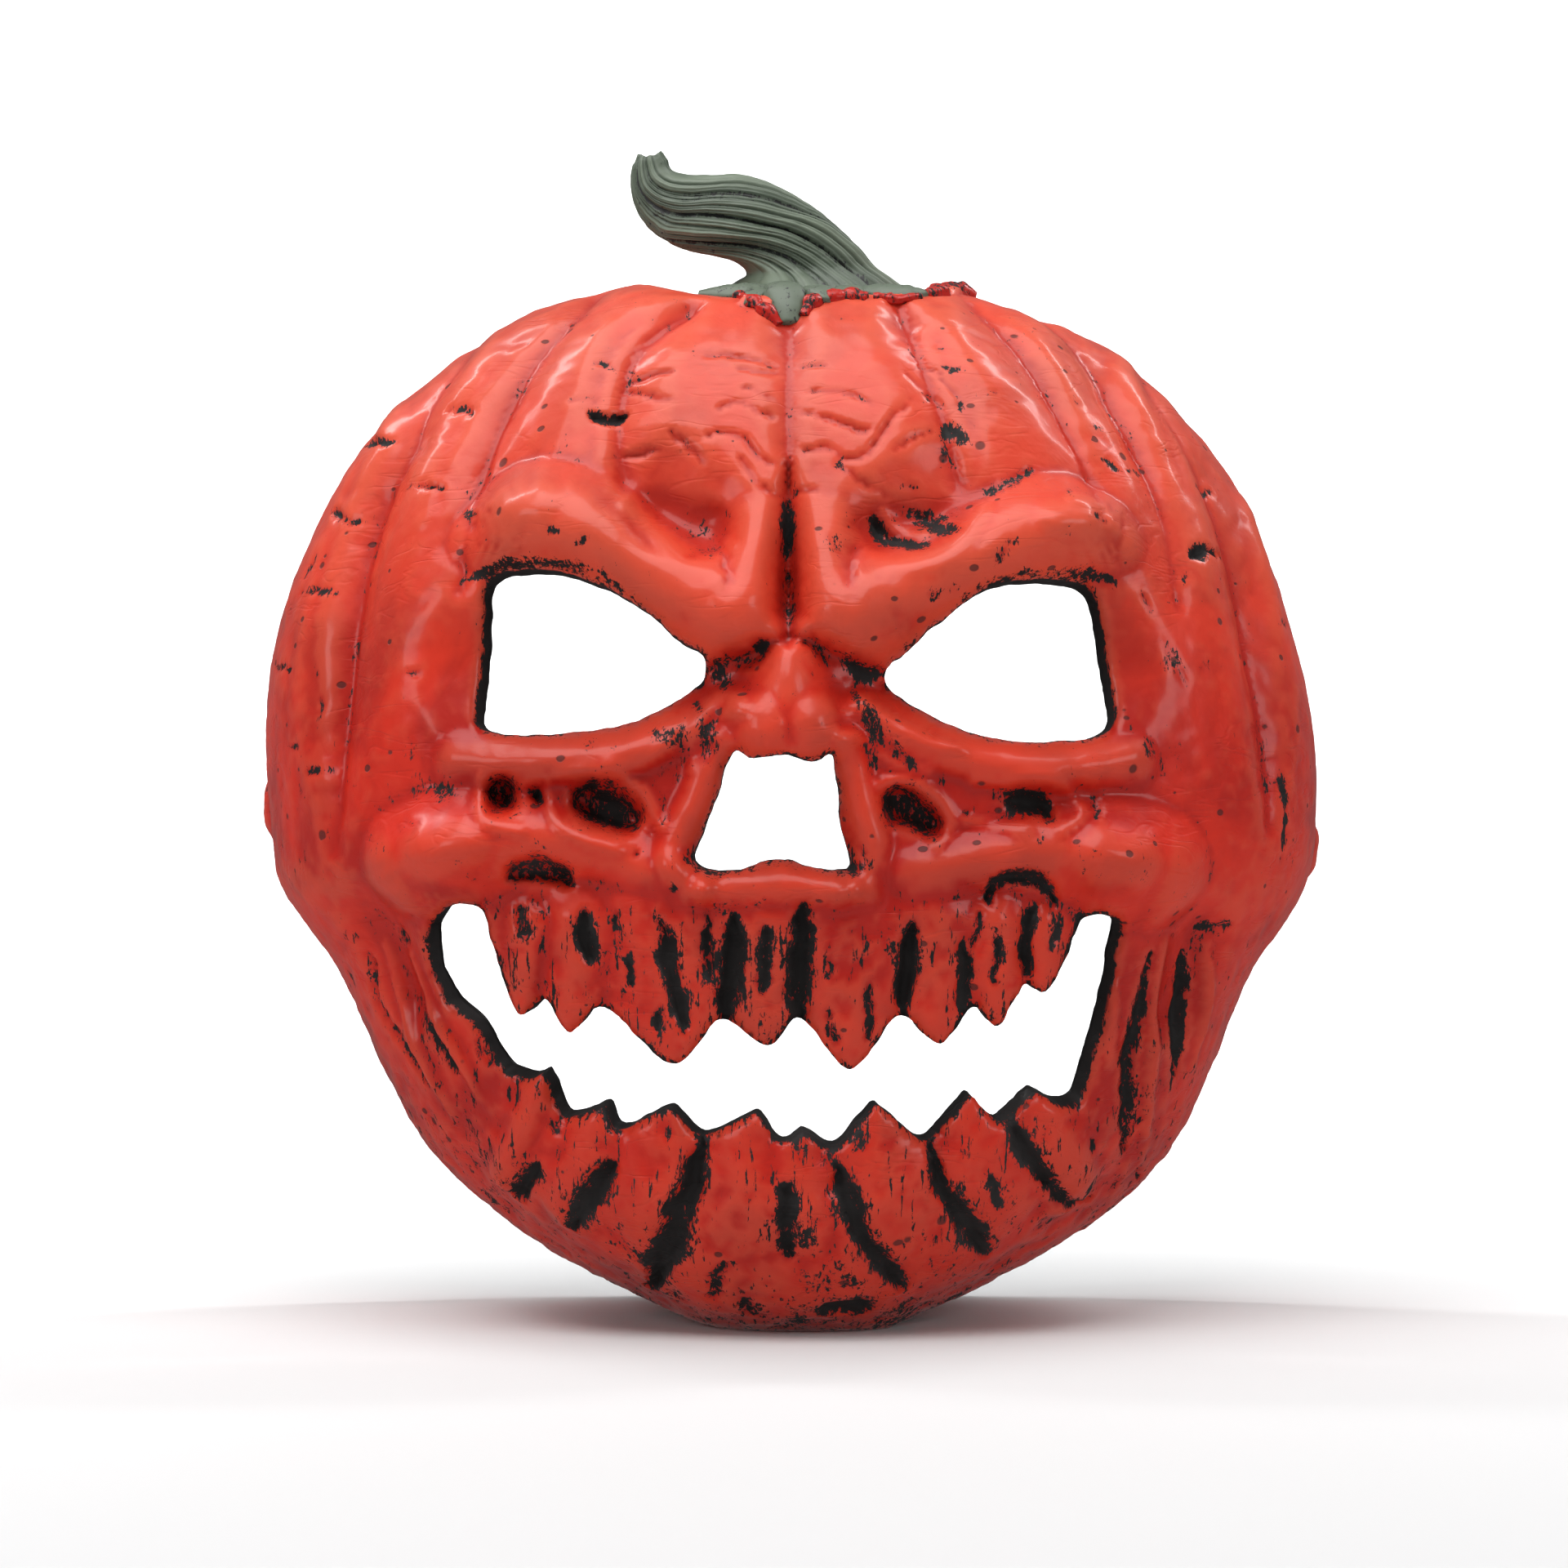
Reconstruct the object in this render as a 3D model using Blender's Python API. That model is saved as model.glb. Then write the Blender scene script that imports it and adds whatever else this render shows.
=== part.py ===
"""Pumpkin mask: a moulded half shell with a carved face, and the stem that is seated on its crown.

Metres, +Z up. The face looks along -Y and +X is at the viewer's right. The origin lies on the flat
of the chin that the mask stands on, half way through the shell's depth.

The face is laid out as it is seen from SIGHT_DISTANCE in front. A place in the tables is a pair of
layout steps: WIDTH_STEPS of them are the shell's width, counted from its middle, and HEIGHT_STEPS its
height, counted from the surface that it stands on. Heights of relief are shares of RELIEF.
"""

import math

import bmesh
import bpy
import numpy as np
from mathutils.geometry import delaunay_2d_cdt

# Driving sizes
SHELL_WIDTH = 0.250
SHELL_HEIGHT = 0.243
SHELL_DEPTH = 0.106
WALL = 0.004
RELIEF = 0.014
SIGHT_DISTANCE = 1.10
SEAT_GAP = 0.0003
STEM_BASE_WIDTH = 0.046
STEM_RISE = 0.040

# Fineness of the facets, as lengths of an edge
FINE_EDGE = 0.0048
COARSE_EDGE = 0.0085
INNER_EDGE = 0.0090
CUT_EDGE = 0.0036
RIM_EDGE = 0.0080

# The layout grid
WIDTH_STEPS = 1284
HEIGHT_STEPS = 1249
MIDDLE_STEP = 640
RIM_Y = SHELL_DEPTH / 2

# The shell's outline, anticlockwise from the viewer's right: x, z
OUTLINE = (
    (642, 655), (636, 728), (620, 800), (592, 889), (559, 967), (509, 1045), (456, 1107),
    (400, 1156), (335, 1195), (252, 1222), (180, 1242), (110, 1245), (30, 1244), (-100, 1244),
    (-171, 1249), (-226, 1239), (-302, 1217), (-373, 1182), (-441, 1130), (-508, 1065),
    (-559, 990), (-604, 894), (-632, 802), (-641, 728), (-640, 650), (-633, 571), (-622, 515),
    (-589, 467), (-556, 425), (-525, 364), (-482, 274), (-431, 190), (-354, 123), (-274, 74),
    (-162, 26), (-80, -2), (20, -9), (110, -4), (165, 18), (260, 56), (362, 109), (448, 183),
    (504, 282), (544, 380), (571, 430), (614, 486), (632, 530), (642, 593),
)

# How the dome falls away from the middle of the face, every 45 degrees from the viewer's right:
# straight run at the rim as a share of the depth, fullness of the curve in front of it
PROFILES = (
    (0.18, 2.35), (0.24, 2.25), (0.30, 2.25), (0.24, 2.25),
    (0.18, 2.35), (0.28, 2.40), (0.60, 2.55), (0.28, 2.40),
)

# Holes, anticlockwise: x, z
RIGHT_EYE = (
    (400, 716), (397, 750), (389, 800), (379, 855), (362, 884), (322, 891), (272, 889), (232, 876),
    (204, 856), (174, 832), (146, 806), (117, 780), (122, 757), (158, 732), (204, 710), (254, 696),
    (306, 692), (350, 694), (384, 700),
)
LEFT_EYE = (
    (-108, 768), (-107, 797), (-140, 818), (-172, 847), (-217, 876), (-270, 898), (-328, 903),
    (-371, 890), (-378, 845), (-380, 800), (-384, 755), (-388, 716), (-372, 704), (-328, 700),
    (-268, 704), (-213, 711), (-168, 728), (-128, 750),
)
NOSE_HOLE = (
    (72, 541), (62, 590), (57, 640), (50, 676), (25, 667), (-8, 676), (-46, 672), (-68, 681),
    (-79, 668), (-87, 640), (-102, 595), (-119, 552), (-104, 536), (-68, 535), (-33, 547),
    (-8, 550), (22, 541), (50, 536),
)
# Upper teeth from the viewer's left: tip x, tip z, next gap x, next gap z
UPPER_TEETH = (
    (-328, 360, -299, 378), (-269, 337, -227, 368), (-142, 305, -85, 359), (-28, 332, 12, 363),
    (70, 302, 128, 361), (180, 328, 222, 369), (251, 346, 284, 396), (309, 388, 337, 430),
)
# Lower teeth from the viewer's right: tip x, tip z, next gap x, next gap z
LOWER_TEETH = (
    (297, 266, 254, 232), (217, 262, 162, 213), (102, 258, 51, 212), (12, 230, -11, 217),
    (-41, 250, -108, 222), (-146, 252, -208, 225), (-227, 250, -275, 236), (-302, 287, -318, 281),
)
MOUTH_LEFT = (
    (-347, 289), (-369, 315), (-387, 347), (-423, 377), (-443, 414), (-446, 455), (-433, 478),
    (-418, 490), (-400, 493),
)
MOUTH_START = ((-378, 486), (-365, 446), (-347, 392))
MOUTH_RIGHT = (
    (345, 452), (359, 476), (384, 480), (403, 469), (399, 430), (391, 385), (379, 340), (365, 296),
    (351, 256), (328, 251),
)

# Relief. A row is: height as a share of RELIEF, cross-section, then the path: x, z, half width
BROAD_FORMS = (
    # eye sockets, and the hollow under each cheek
    (-0.50, "dish", ((-345, 790, 130), (-260, 800, 165), (-150, 790, 120))),
    (-0.50, "dish", ((150, 790, 120), (265, 800, 165), (350, 790, 130))),
    (-0.35, "dish", ((-500, 455, 80), (-470, 390, 70))),
    (-0.35, "dish", ((490, 440, 80), (470, 380, 70))),
    # bowls of the forehead above the brows
    (-0.34, "dish", ((-150, 1000, 100), (-105, 975, 80))),
    (-0.30, "dish", ((170, 990, 96), (125, 965, 78))),
    # nose: bridge and the two lobes of its tip
    (0.62, "roll", ((-3, 800, 40), (-4, 760, 58), (-6, 722, 84), (-6, 704, 92))),
    (0.18, "roll", ((-48, 714, 46), (-40, 706, 46))),
    (0.18, "roll", ((36, 712, 46), (44, 704, 46))),
    # cheek bones
    (0.62, "roll", ((-452, 548, 84), (-388, 562, 82), (-328, 566, 68), (-268, 562, 58), (-208, 552, 54),
                    (-148, 530, 46))),
    (0.62, "roll", ((428, 538, 86), (372, 546, 82), (312, 552, 68), (252, 547, 58), (192, 538, 54),
                    (140, 530, 46))),
    # lids under the eyes, joined to the nose
    (0.34, "roll", ((-400, 660, 50), (-300, 664, 48), (-210, 672, 48), (-130, 704, 46), (-80, 735, 40))),
    (0.34, "roll", ((415, 660, 50), (320, 656, 48), (225, 668, 48), (140, 698, 46), (90, 730, 40))),
    # walls beside the nose hole, and the lip under it
    (0.22, "roll", ((-112, 680, 36), (-126, 620, 36), (-150, 560, 40), (-120, 515, 40))),
    (0.22, "roll", ((88, 680, 34), (96, 620, 34), (106, 560, 38), (90, 515, 38))),
    (0.30, "roll", ((-90, 506, 38), (-20, 516, 40), (60, 506, 38))),
    # the chin
    (0.40, "dish", ((-300, 180, 120), (-120, 110, 140), (40, 95, 140), (200, 130, 140), (310, 190, 120))),
)
# Brows, which turn up beside the crease between them, and that crease
BROWS = (
    (0.72, "roll", ((-385, 955, 66), (-308, 965, 78), (-248, 948, 72), (-193, 915, 70), (-143, 875, 70),
                    (-95, 850, 76), (-58, 868, 62), (-42, 915, 48), (-44, 965, 44), (-56, 1005, 40))),
    (0.72, "roll", ((392, 952, 62), (322, 950, 76), (262, 930, 72), (202, 903, 70), (142, 870, 70),
                    (96, 848, 76), (54, 866, 62), (38, 915, 48), (38, 965, 44), (52, 1005, 40))),
    (-0.40, "dish", ((-3, 1010, 34), (-3, 940, 46), (-3, 870, 46), (-3, 815, 34))),
)
# Creases between the pumpkin's lobes, from the stem outwards
LOBES = (
    (-0.26, "crease", ((-3, 1215, 70), (-3, 1150, 56), (-3, 1060, 36), (-3, 1000, 26))),
    (-0.34, "crease", ((-120, 1222, 60), (-190, 1195, 66), (-220, 1150, 66), (-226, 1080, 60), (-218, 1000, 44))),
    (-0.56, "crease", ((-240, 1232, 70), (-300, 1195, 78), (-356, 1110, 84), (-386, 1000, 80), (-402, 890, 64),
                       (-414, 790, 50), (-420, 700, 44))),
    (-0.56, "crease", ((-330, 1205, 70), (-438, 1100, 82), (-500, 1000, 84), (-538, 870, 82), (-556, 730, 74),
                       (-560, 630, 62), (-570, 560, 44))),
    (-0.40, "crease", ((-450, 1120, 54), (-560, 960, 64), (-612, 820, 64), (-620, 690, 54))),
    (-0.34, "crease", ((130, 1224, 60), (172, 1190, 66), (186, 1120, 64), (200, 1050, 54), (217, 980, 40))),
    (-0.46, "crease", ((220, 1226, 66), (282, 1195, 76), (335, 1125, 80), (372, 1030, 76), (396, 930, 60),
                       (410, 820, 50), (424, 720, 42))),
    (-0.56, "crease", ((250, 1220, 60), (322, 1184, 76), (400, 1128, 82), (455, 1035, 82), (480, 930, 74),
                       (488, 820, 62), (490, 700, 50))),
    (-0.56, "crease", ((400, 1160, 56), (492, 1060, 74), (550, 965, 80), (584, 850, 78), (598, 720, 74),
                       (598, 640, 60), (588, 580, 40))),
)
# Pits under the eyes and furrows of the chin, which do not show inside the shell
CUTS = (
    (-0.18, "dish", ((-352, 622, 46), (-335, 616, 42))),
    (-0.20, "dish", ((-242, 618, 46), (-196, 602, 46))),
    (-0.18, "dish", ((150, 604, 44), (182, 596, 40))),
    (-0.18, "crease", ((-281, 228, 26), (-320, 150, 24))),
    (-0.20, "crease", ((-202, 214, 28), (-252, 116, 26))),
    (-0.20, "crease", ((-106, 208, 28), (-126, 130, 28), (-164, 40, 26))),
    (-0.16, "crease", ((-6, 200, 26), (-4, 90, 24))),
    (-0.18, "crease", ((51, 198, 26), (74, 120, 26), (124, 52, 22))),
    (-0.18, "crease", ((162, 205, 26), (214, 84, 26))),
    (-0.16, "crease", ((256, 224, 24), (300, 180, 24), (346, 140, 20))),
)
# Teeth bulge from root to tip: height as a share of RELIEF, and half width as a share of the tooth's
TOOTH_RISE = 0.22
TOOTH_SPREAD = 0.62
UPPER_ROOT = 470

# Nubs moulded on the side walls near the rim: height as a share of RELIEF, x, z, half width
SIDE_NUBS = ((0.12, -640, 610, 26), (0.12, 642, 556, 26))

# The stem's two sides from its base to its tip, each sideways as a share of STEM_BASE_WIDTH and up as
# a share of STEM_RISE: left x, left z, right x, right z
STEM_SIDES = (
    (-0.542, 0.000, 0.542, 0.000), (-0.423, 0.088, 0.432, 0.097), (-0.372, 0.130, 0.330, 0.185),
    (-0.402, 0.180, 0.245, 0.311), (-0.483, 0.214, 0.114, 0.462), (-0.576, 0.238, -0.025, 0.559),
    (-0.660, 0.263, -0.174, 0.652), (-0.732, 0.297, -0.347, 0.715), (-0.808, 0.350, -0.525, 0.722),
    (-0.885, 0.462, -0.652, 0.730), (-0.935, 0.593, -0.720, 0.762), (-0.935, 0.749, -0.745, 0.810),
    (-0.906, 0.827, -0.770, 0.848),
)
STEM_X_STEPS = 26
STEM_Z_STEPS = 1232
STEM_BACK = 0.033
SEAT_SLOPE = 0.10
STEM_RIBS = 9
STEM_RIB_HEIGHT = 0.10
STEM_TWIST = math.radians(130)
STEM_DEPTH_SHARE = 0.82
RING_POINTS = 54
SEAT_MARGIN = 1.10
SEAT_BLEND = 1.75

SOFT_SLANT = 2.0
ARC_SHARE = 1.03 * math.pi / 2
FORE_FROM, FORE_TO = 0.62, 1.0
CLOSE = 1e-6


def clear_scene():
    for item in list(bpy.data.objects):
        bpy.data.objects.remove(item, do_unlink=True)


def smoothstep(low, high, value):
    t = np.clip((value - low) / (high - low), 0.0, 1.0)
    return t * t * (3.0 - 2.0 * t)


def curve_through(points, spacing, closed=False):
    """Points on a Catmull-Rom curve through the given ones, about spacing apart and with each kept."""
    knots = np.asarray(points, float)
    count = len(knots)
    spans = count if closed else count - 1
    found = []
    for i in range(spans):
        if closed:
            a, b, c, d = (knots[(i + k) % count] for k in (-1, 0, 1, 2))
        else:
            a, b, c, d = (knots[min(max(i + k, 0), count - 1)] for k in (-1, 0, 1, 2))
        pieces = max(1, round(float(np.linalg.norm((c - b)[:2])) / spacing))
        t = (np.arange(pieces) / pieces)[:, None]
        found.append(0.5 * (2 * b + (c - a) * t + (2 * a - 5 * b + 4 * c - d) * t**2
                            + (3 * b - a - 3 * c + d) * t**3))
    if not closed:
        found.append(knots[-1:])
    return np.vstack(found)


def in_metres(steps):
    """Layout places as x and z in metres from the layout's middle, in the plane of the outline."""
    steps = np.asarray(steps, float)
    return np.column_stack([
        steps[:, 0] * SHELL_WIDTH / WIDTH_STEPS,
        (steps[:, 1] - MIDDLE_STEP) * SHELL_HEIGHT / HEIGHT_STEPS,
    ])


RIM_LINE = in_metres(curve_through(OUTLINE, 8.0, closed=True))
RIM_ANGLES = np.arctan2(RIM_LINE[:, 1], RIM_LINE[:, 0])
RIM_RADII = np.hypot(RIM_LINE[:, 0], RIM_LINE[:, 1])


def section(angle):
    """Radius of the outline, straight run, fullness and arc length of the dome in each direction."""
    radius = np.interp(angle, RIM_ANGLES, RIM_RADII, period=2 * math.pi)
    table = np.array(PROFILES)
    place = np.mod(angle, 2 * math.pi) / (2 * math.pi) * len(table)
    low = np.floor(place).astype(int) % len(table)
    blend = smoothstep(0.0, 1.0, place - np.floor(place))[:, None]
    run, fullness = (table[low] * (1 - blend) + table[(low + 1) % len(table)] * blend).T
    run = run * SHELL_DEPTH
    return radius, run, fullness, ARC_SHARE * (radius + SHELL_DEPTH - run) / 2


def dome(flat):
    """Points of the flat pattern on the plain dome, and their share of the way out to the rim."""
    angle = np.arctan2(flat[:, 1], flat[:, 0])
    reach = np.hypot(flat[:, 0], flat[:, 1])
    radius, run, fullness, arc = section(angle)
    turn = np.minimum(reach / arc, 1.0) * math.pi / 2
    sine, cosine = np.sin(turn), np.maximum(np.cos(turn), 0.0)
    size = (sine**fullness + cosine**fullness) ** (-1 / fullness)
    share = size * sine
    x, z = radius * share * np.cos(angle), radius * share * np.sin(angle)
    y = -run - (SHELL_DEPTH - run) * size * cosine + np.maximum(reach - arc, 0.0)
    middle = MIDDLE_STEP * SHELL_HEIGHT / HEIGHT_STEPS
    return np.column_stack([x, y + RIM_Y, z + middle]), share


def pattern_of(flat_xz, seen=False):
    """Places x and z from the middle, on the flat pattern. Seen ones are drawn in to their true place."""
    angle = np.arctan2(flat_xz[:, 1], flat_xz[:, 0])
    radius, run, fullness, arc = section(angle)
    share = np.minimum(np.hypot(flat_xz[:, 0], flat_xz[:, 1]) / radius, 1 - CLOSE)
    rise = (1 - share**fullness) ** (1 / fullness)
    if seen:
        share = share * (1 - rise * (SHELL_DEPTH - run) / SIGHT_DISTANCE)
        rise = (1 - share**fullness) ** (1 / fullness)
    reach = np.arctan2(share, rise) / (math.pi / 2) * arc
    return np.column_stack([reach * np.cos(angle), reach * np.sin(angle)])


def outward(flat):
    """The dome's outward normal at points of the flat pattern."""
    nudge = 0.0004
    across = dome(flat + (nudge, 0))[0] - dome(flat - (nudge, 0))[0]
    along = dome(flat + (0, nudge))[0] - dome(flat - (0, nudge))[0]
    normal = np.cross(across, along)
    return normal / np.linalg.norm(normal, axis=1, keepdims=True)


def lift_way(flat, share):
    """The way that relief and wall are measured: straight ahead on the face, square to the sides."""
    blend = smoothstep(FORE_FROM, FORE_TO, share)[:, None]
    way = outward(flat) * blend + np.array([0.0, -1.0, 0.0]) * (1 - blend)
    return way / np.linalg.norm(way, axis=1, keepdims=True)


def cross_section(kind, q):
    """Height across a form, from 1 on its path to 0 at its half width."""
    q = np.clip(q, 0.0, 1.0)
    return {
        "roll": (1 - q**2) ** 1.4,
        "dish": (1 - q**2) ** 2,
        "crease": (1 - q) ** 1.5,
    }[kind]


def nearness(points, path):
    """Distance of each point from a path on the dome, as a share of the path's half width there."""
    line = curve_through(path, 16.0)
    on_dome = dome(pattern_of(in_metres(line[:, :2]), seen=True))[0]
    widths = line[:, 2] * SHELL_WIDTH / WIDTH_STEPS
    best = np.full(len(points), 9.0)
    for a, b, wide_a, wide_b in zip(on_dome, on_dome[1:], widths, widths[1:]):
        span = b - a
        t = np.clip((points - a) @ span / max(float(span @ span), CLOSE**2), 0.0, 1.0)
        gap = np.linalg.norm(points - a - t[:, None] * span, axis=1)
        best = np.minimum(best, gap / (wide_a + (wide_b - wide_a) * t))
    return best


def relief(points, tables):
    height = np.zeros(len(points))
    for table in tables:
        for share, kind, path in table:
            height += share * RELIEF * cross_section(kind, nearness(points, path))
    return height


def teeth():
    """A bulge down each upper tooth, as rows of relief."""
    rows = []
    left = MOUTH_START[-1][0]
    for tip_x, tip_z, gap_x, _ in UPPER_TEETH:
        half_width = TOOTH_SPREAD * (gap_x - left)
        root = ((left + gap_x) / 2, UPPER_ROOT, half_width)
        rows.append((TOOTH_RISE, "roll", (root, (tip_x, tip_z, half_width * 0.8))))
        left = gap_x
    return rows


def side_nubs(points):
    height = np.zeros(len(points))
    for share, x, z, half_width in SIDE_NUBS:
        path = ((x, z + half_width / 2, half_width), (x, z - half_width / 2, half_width))
        height += share * RELIEF * cross_section("roll", nearness(points, path))
    return height


def seat_level(y):
    """The plane on the crown that the stem is seated on: level from side to side, lower in front."""
    return STEM_Z_STEPS * SHELL_HEIGHT / HEIGHT_STEPS + SEAT_SLOPE * (y - (RIM_Y - STEM_BACK))


def stem_foot():
    """x and y of the stem's axis at its base."""
    return STEM_X_STEPS * SHELL_WIDTH / WIDTH_STEPS, RIM_Y - STEM_BACK


def with_flats(points, inset):
    """The chin's flat and the stem's seat pressed into the points, inset by the wall on the inside."""
    points = points.copy()
    x, y = stem_foot()
    base = STEM_BASE_WIDTH * STEM_SIDES[0][2]
    far = np.hypot((points[:, 0] - x) / base, (points[:, 1] - y) / (base * STEM_DEPTH_SHARE))
    pressed = 1 - smoothstep(SEAT_MARGIN, SEAT_BLEND, far)
    pressed[points[:, 2] < SHELL_HEIGHT / 2] = 0.0
    level = seat_level(points[:, 1]) - inset
    points[:, 2] += pressed * (level - points[:, 2])
    points[:, 2] = np.maximum(points[:, 2], inset)
    return points


def outer_skin(flat):
    points, share = dome(flat)
    height = relief(points, (BROAD_FORMS, BROWS, LOBES, CUTS, teeth())) + side_nubs(points)
    return with_flats(points + lift_way(flat, share) * height[:, None], 0.0)


def inner_skin(flat):
    points, share = dome(flat)
    height = relief(points, (BROAD_FORMS, BROWS, LOBES)) - WALL
    return with_flats(points + lift_way(flat, share) * height[:, None], WALL)


def mouth_loop():
    """The mouth, anticlockwise: up the right side, over the upper teeth and back along the lower."""
    upper = [place for row in UPPER_TEETH for place in (row[:2], row[2:])]
    lower = [place for row in LOWER_TEETH for place in (row[:2], row[2:])]
    clockwise = [*MOUTH_START, *upper, *MOUTH_RIGHT, *lower, *MOUTH_LEFT]
    return clockwise[::-1]


def loops_of(edge):
    """The rim's loop and each hole's, on the flat pattern: those of the outer skin and the inner."""
    line = curve_through(OUTLINE, edge * RIM_EDGE / CUT_EDGE * WIDTH_STEPS / SHELL_WIDTH, closed=True)
    angle = np.arctan2(*in_metres(line).T[::-1])
    _, run, _, arc = section(angle)
    rim = np.column_stack([np.cos(angle), np.sin(angle)]) * (arc + run)[:, None]
    outer, inner = [rim], [rim]
    for hole in (RIGHT_EYE, LEFT_EYE, NOSE_HOLE, mouth_loop()):
        line = curve_through(hole, edge * WIDTH_STEPS / SHELL_WIDTH, closed=True)
        cut = pattern_of(in_metres(line), seen=True)
        middle = np.array([0.0, MIDDLE_STEP * SHELL_HEIGHT / HEIGHT_STEPS])
        drawn_in = dome(cut)[0][:, [0, 2]] - middle - WALL * SOFT_SLANT * outward(cut)[:, [0, 2]]
        outer.append(cut)
        inner.append(pattern_of(drawn_in))
    return outer, inner


def inside(points, loop):
    """Which points lie within a closed loop."""
    found = np.zeros(len(points), bool)
    for (ax, ay), (bx, by) in zip(loop, np.roll(loop, -1, axis=0)):
        if ay == by:
            continue
        between = (points[:, 1] > ay) != (points[:, 1] > by)
        found ^= between & (points[:, 0] < (bx - ax) * (points[:, 1] - ay) / (by - ay) + ax)
    return found


def lattice(edge, extent):
    rows = np.arange(-extent, extent, edge * math.sqrt(3) / 2)
    columns = np.arange(-extent, extent, edge)
    x, y = np.meshgrid(columns, rows)
    x[1::2] += edge / 2
    return np.column_stack([x.ravel(), y.ravel()])


def clear_of(points, others, gap):
    """The points that lie further than gap from every one of the others."""
    keep = np.ones(len(points), bool)
    for other in others:
        keep &= np.hypot(points[:, 0] - other[0], points[:, 1] - other[1]) > gap
    return points[keep]


def triangulate(loops, lines, fine, coarse):
    """Points and triangles that fill the pattern between the loops, finer on the face."""
    extent = float(np.abs(loops[0]).max()) + coarse
    edge_points = np.vstack(loops)
    on_lines = clear_of(np.vstack(lines), edge_points, fine * 0.6) if lines else np.empty((0, 2))
    face = lattice(fine, extent)
    side = lattice(coarse, extent)
    face_reach = 0.80
    face = face[dome(face)[1] < face_reach]
    side = side[dome(side)[1] >= face_reach]
    fill = np.vstack([clear_of(face, np.vstack([edge_points, on_lines]), fine * 0.62),
                      clear_of(side, edge_points, coarse * 0.55)])
    fill = np.vstack([on_lines, fill])
    kept = inside(fill, loops[0])
    for hole in loops[1:]:
        kept &= ~inside(fill, hole)
    points = np.vstack([edge_points, fill[kept]])
    edges, start = [], 0
    for loop in loops:
        count = len(loop)
        edges += [(start + i, start + (i + 1) % count) for i in range(count)]
        start += count
    made = delaunay_2d_cdt([tuple(p) for p in points], edges, [], 0, CLOSE)
    places = np.array([tuple(p) for p in made[0]])
    if len(places) != len(points):
        raise ValueError("two points of the pattern fell together")
    triangles = np.array(made[2])
    centres = places[triangles].mean(axis=1)
    kept = inside(centres, loops[0])
    for hole in loops[1:]:
        kept &= ~inside(centres, hole)
    return places, triangles[kept]


def feature_lines():
    """Points along each cut, crease and brow, so that the facets follow them."""
    followed = [row for row in (*CUTS, *LOBES) if row[1] == "crease"]
    found = []
    for _, _, path in (*followed, *BROWS):
        line = curve_through(path, FINE_EDGE * WIDTH_STEPS / SHELL_WIDTH)
        found.append(pattern_of(in_metres(line[:, :2]), seen=True))
    return found


def mesh_object(name, points, faces, collection, material):
    mesh = bpy.data.meshes.new(name)
    mesh.from_pydata([tuple(map(float, p)) for p in points], [], [tuple(map(int, f)) for f in faces])
    mesh.validate()
    shaped = bmesh.new()
    shaped.from_mesh(mesh)
    bmesh.ops.recalc_face_normals(shaped, faces=shaped.faces)
    shaped.to_mesh(mesh)
    shaped.free()
    mesh.shade_smooth()
    mesh.set_sharp_from_angle(angle=math.radians(50))
    mesh.materials.append(material)
    made = bpy.data.objects.new(name, mesh)
    collection.objects.link(made)
    return made


def build_shell(collection, material):
    """The face: an outer and an inner skin, joined round the rim and through each hole."""
    outer_loops, inner_loops = loops_of(CUT_EDGE)
    outer_flat, outer_faces = triangulate(outer_loops, feature_lines(), FINE_EDGE, COARSE_EDGE)
    inner_flat, inner_faces = triangulate(inner_loops, [], INNER_EDGE, INNER_EDGE * 1.2)
    first_inner = len(outer_flat)
    points = np.vstack([outer_skin(outer_flat), inner_skin(inner_flat)])
    faces = [tuple(f) for f in outer_faces] + [tuple(f + first_inner) for f in inner_faces]
    start = 0
    for loop in outer_loops:
        count = len(loop)
        for i in range(count):
            a, b = start + i, start + (i + 1) % count
            faces.append((a, b, b + first_inner))
            faces.append((a, b + first_inner, a + first_inner))
        start += count
    return mesh_object("face_shell", points, faces, collection, material)


def stem_rings():
    """The stem's ribbed rings from its base to its tip, each slung between the stem's two sides."""
    x, y = stem_foot()
    shares = np.array(STEM_SIDES).reshape(-1, 2, 2) * (STEM_BASE_WIDTH, STEM_RISE)
    middles, halves = shares.mean(axis=1), (shares[:, 1] - shares[:, 0]) / 2
    path = curve_through(np.hstack([middles, halves]), STEM_RISE * 0.11)
    around = np.linspace(0, 2 * math.pi, RING_POINTS, endpoint=False)
    out = 1 - STEM_RIB_HEIGHT * (1 - np.cos(STEM_RIBS * around))
    rings = []
    for i, (side, up, across, rise) in enumerate(path):
        turn = around - STEM_TWIST * i / (len(path) - 1)
        back = out * np.sin(turn) * math.hypot(across, rise) * STEM_DEPTH_SHARE
        ahead = out * np.cos(turn)
        level = seat_level(y + back) + SEAT_GAP
        rings.append(np.column_stack([x + side + ahead * across, y + back, level + up + ahead * rise]))
    return rings


def build_stem(collection, material):
    rings = stem_rings()
    points = np.vstack(rings)
    faces = []
    for level in range(len(rings) - 1):
        for i in range(RING_POINTS):
            a, b = level * RING_POINTS + i, level * RING_POINTS + (i + 1) % RING_POINTS
            faces.append((a, b, b + RING_POINTS))
            faces.append((a, b + RING_POINTS, a + RING_POINTS))
    for level in (0, len(rings) - 1):
        middle = len(points)
        points = np.vstack([points, rings[level].mean(axis=0)])
        start = level * RING_POINTS
        faces += [(start + i, start + (i + 1) % RING_POINTS, middle) for i in range(RING_POINTS)]
    return mesh_object("stem", points, faces, collection, material)


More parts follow.
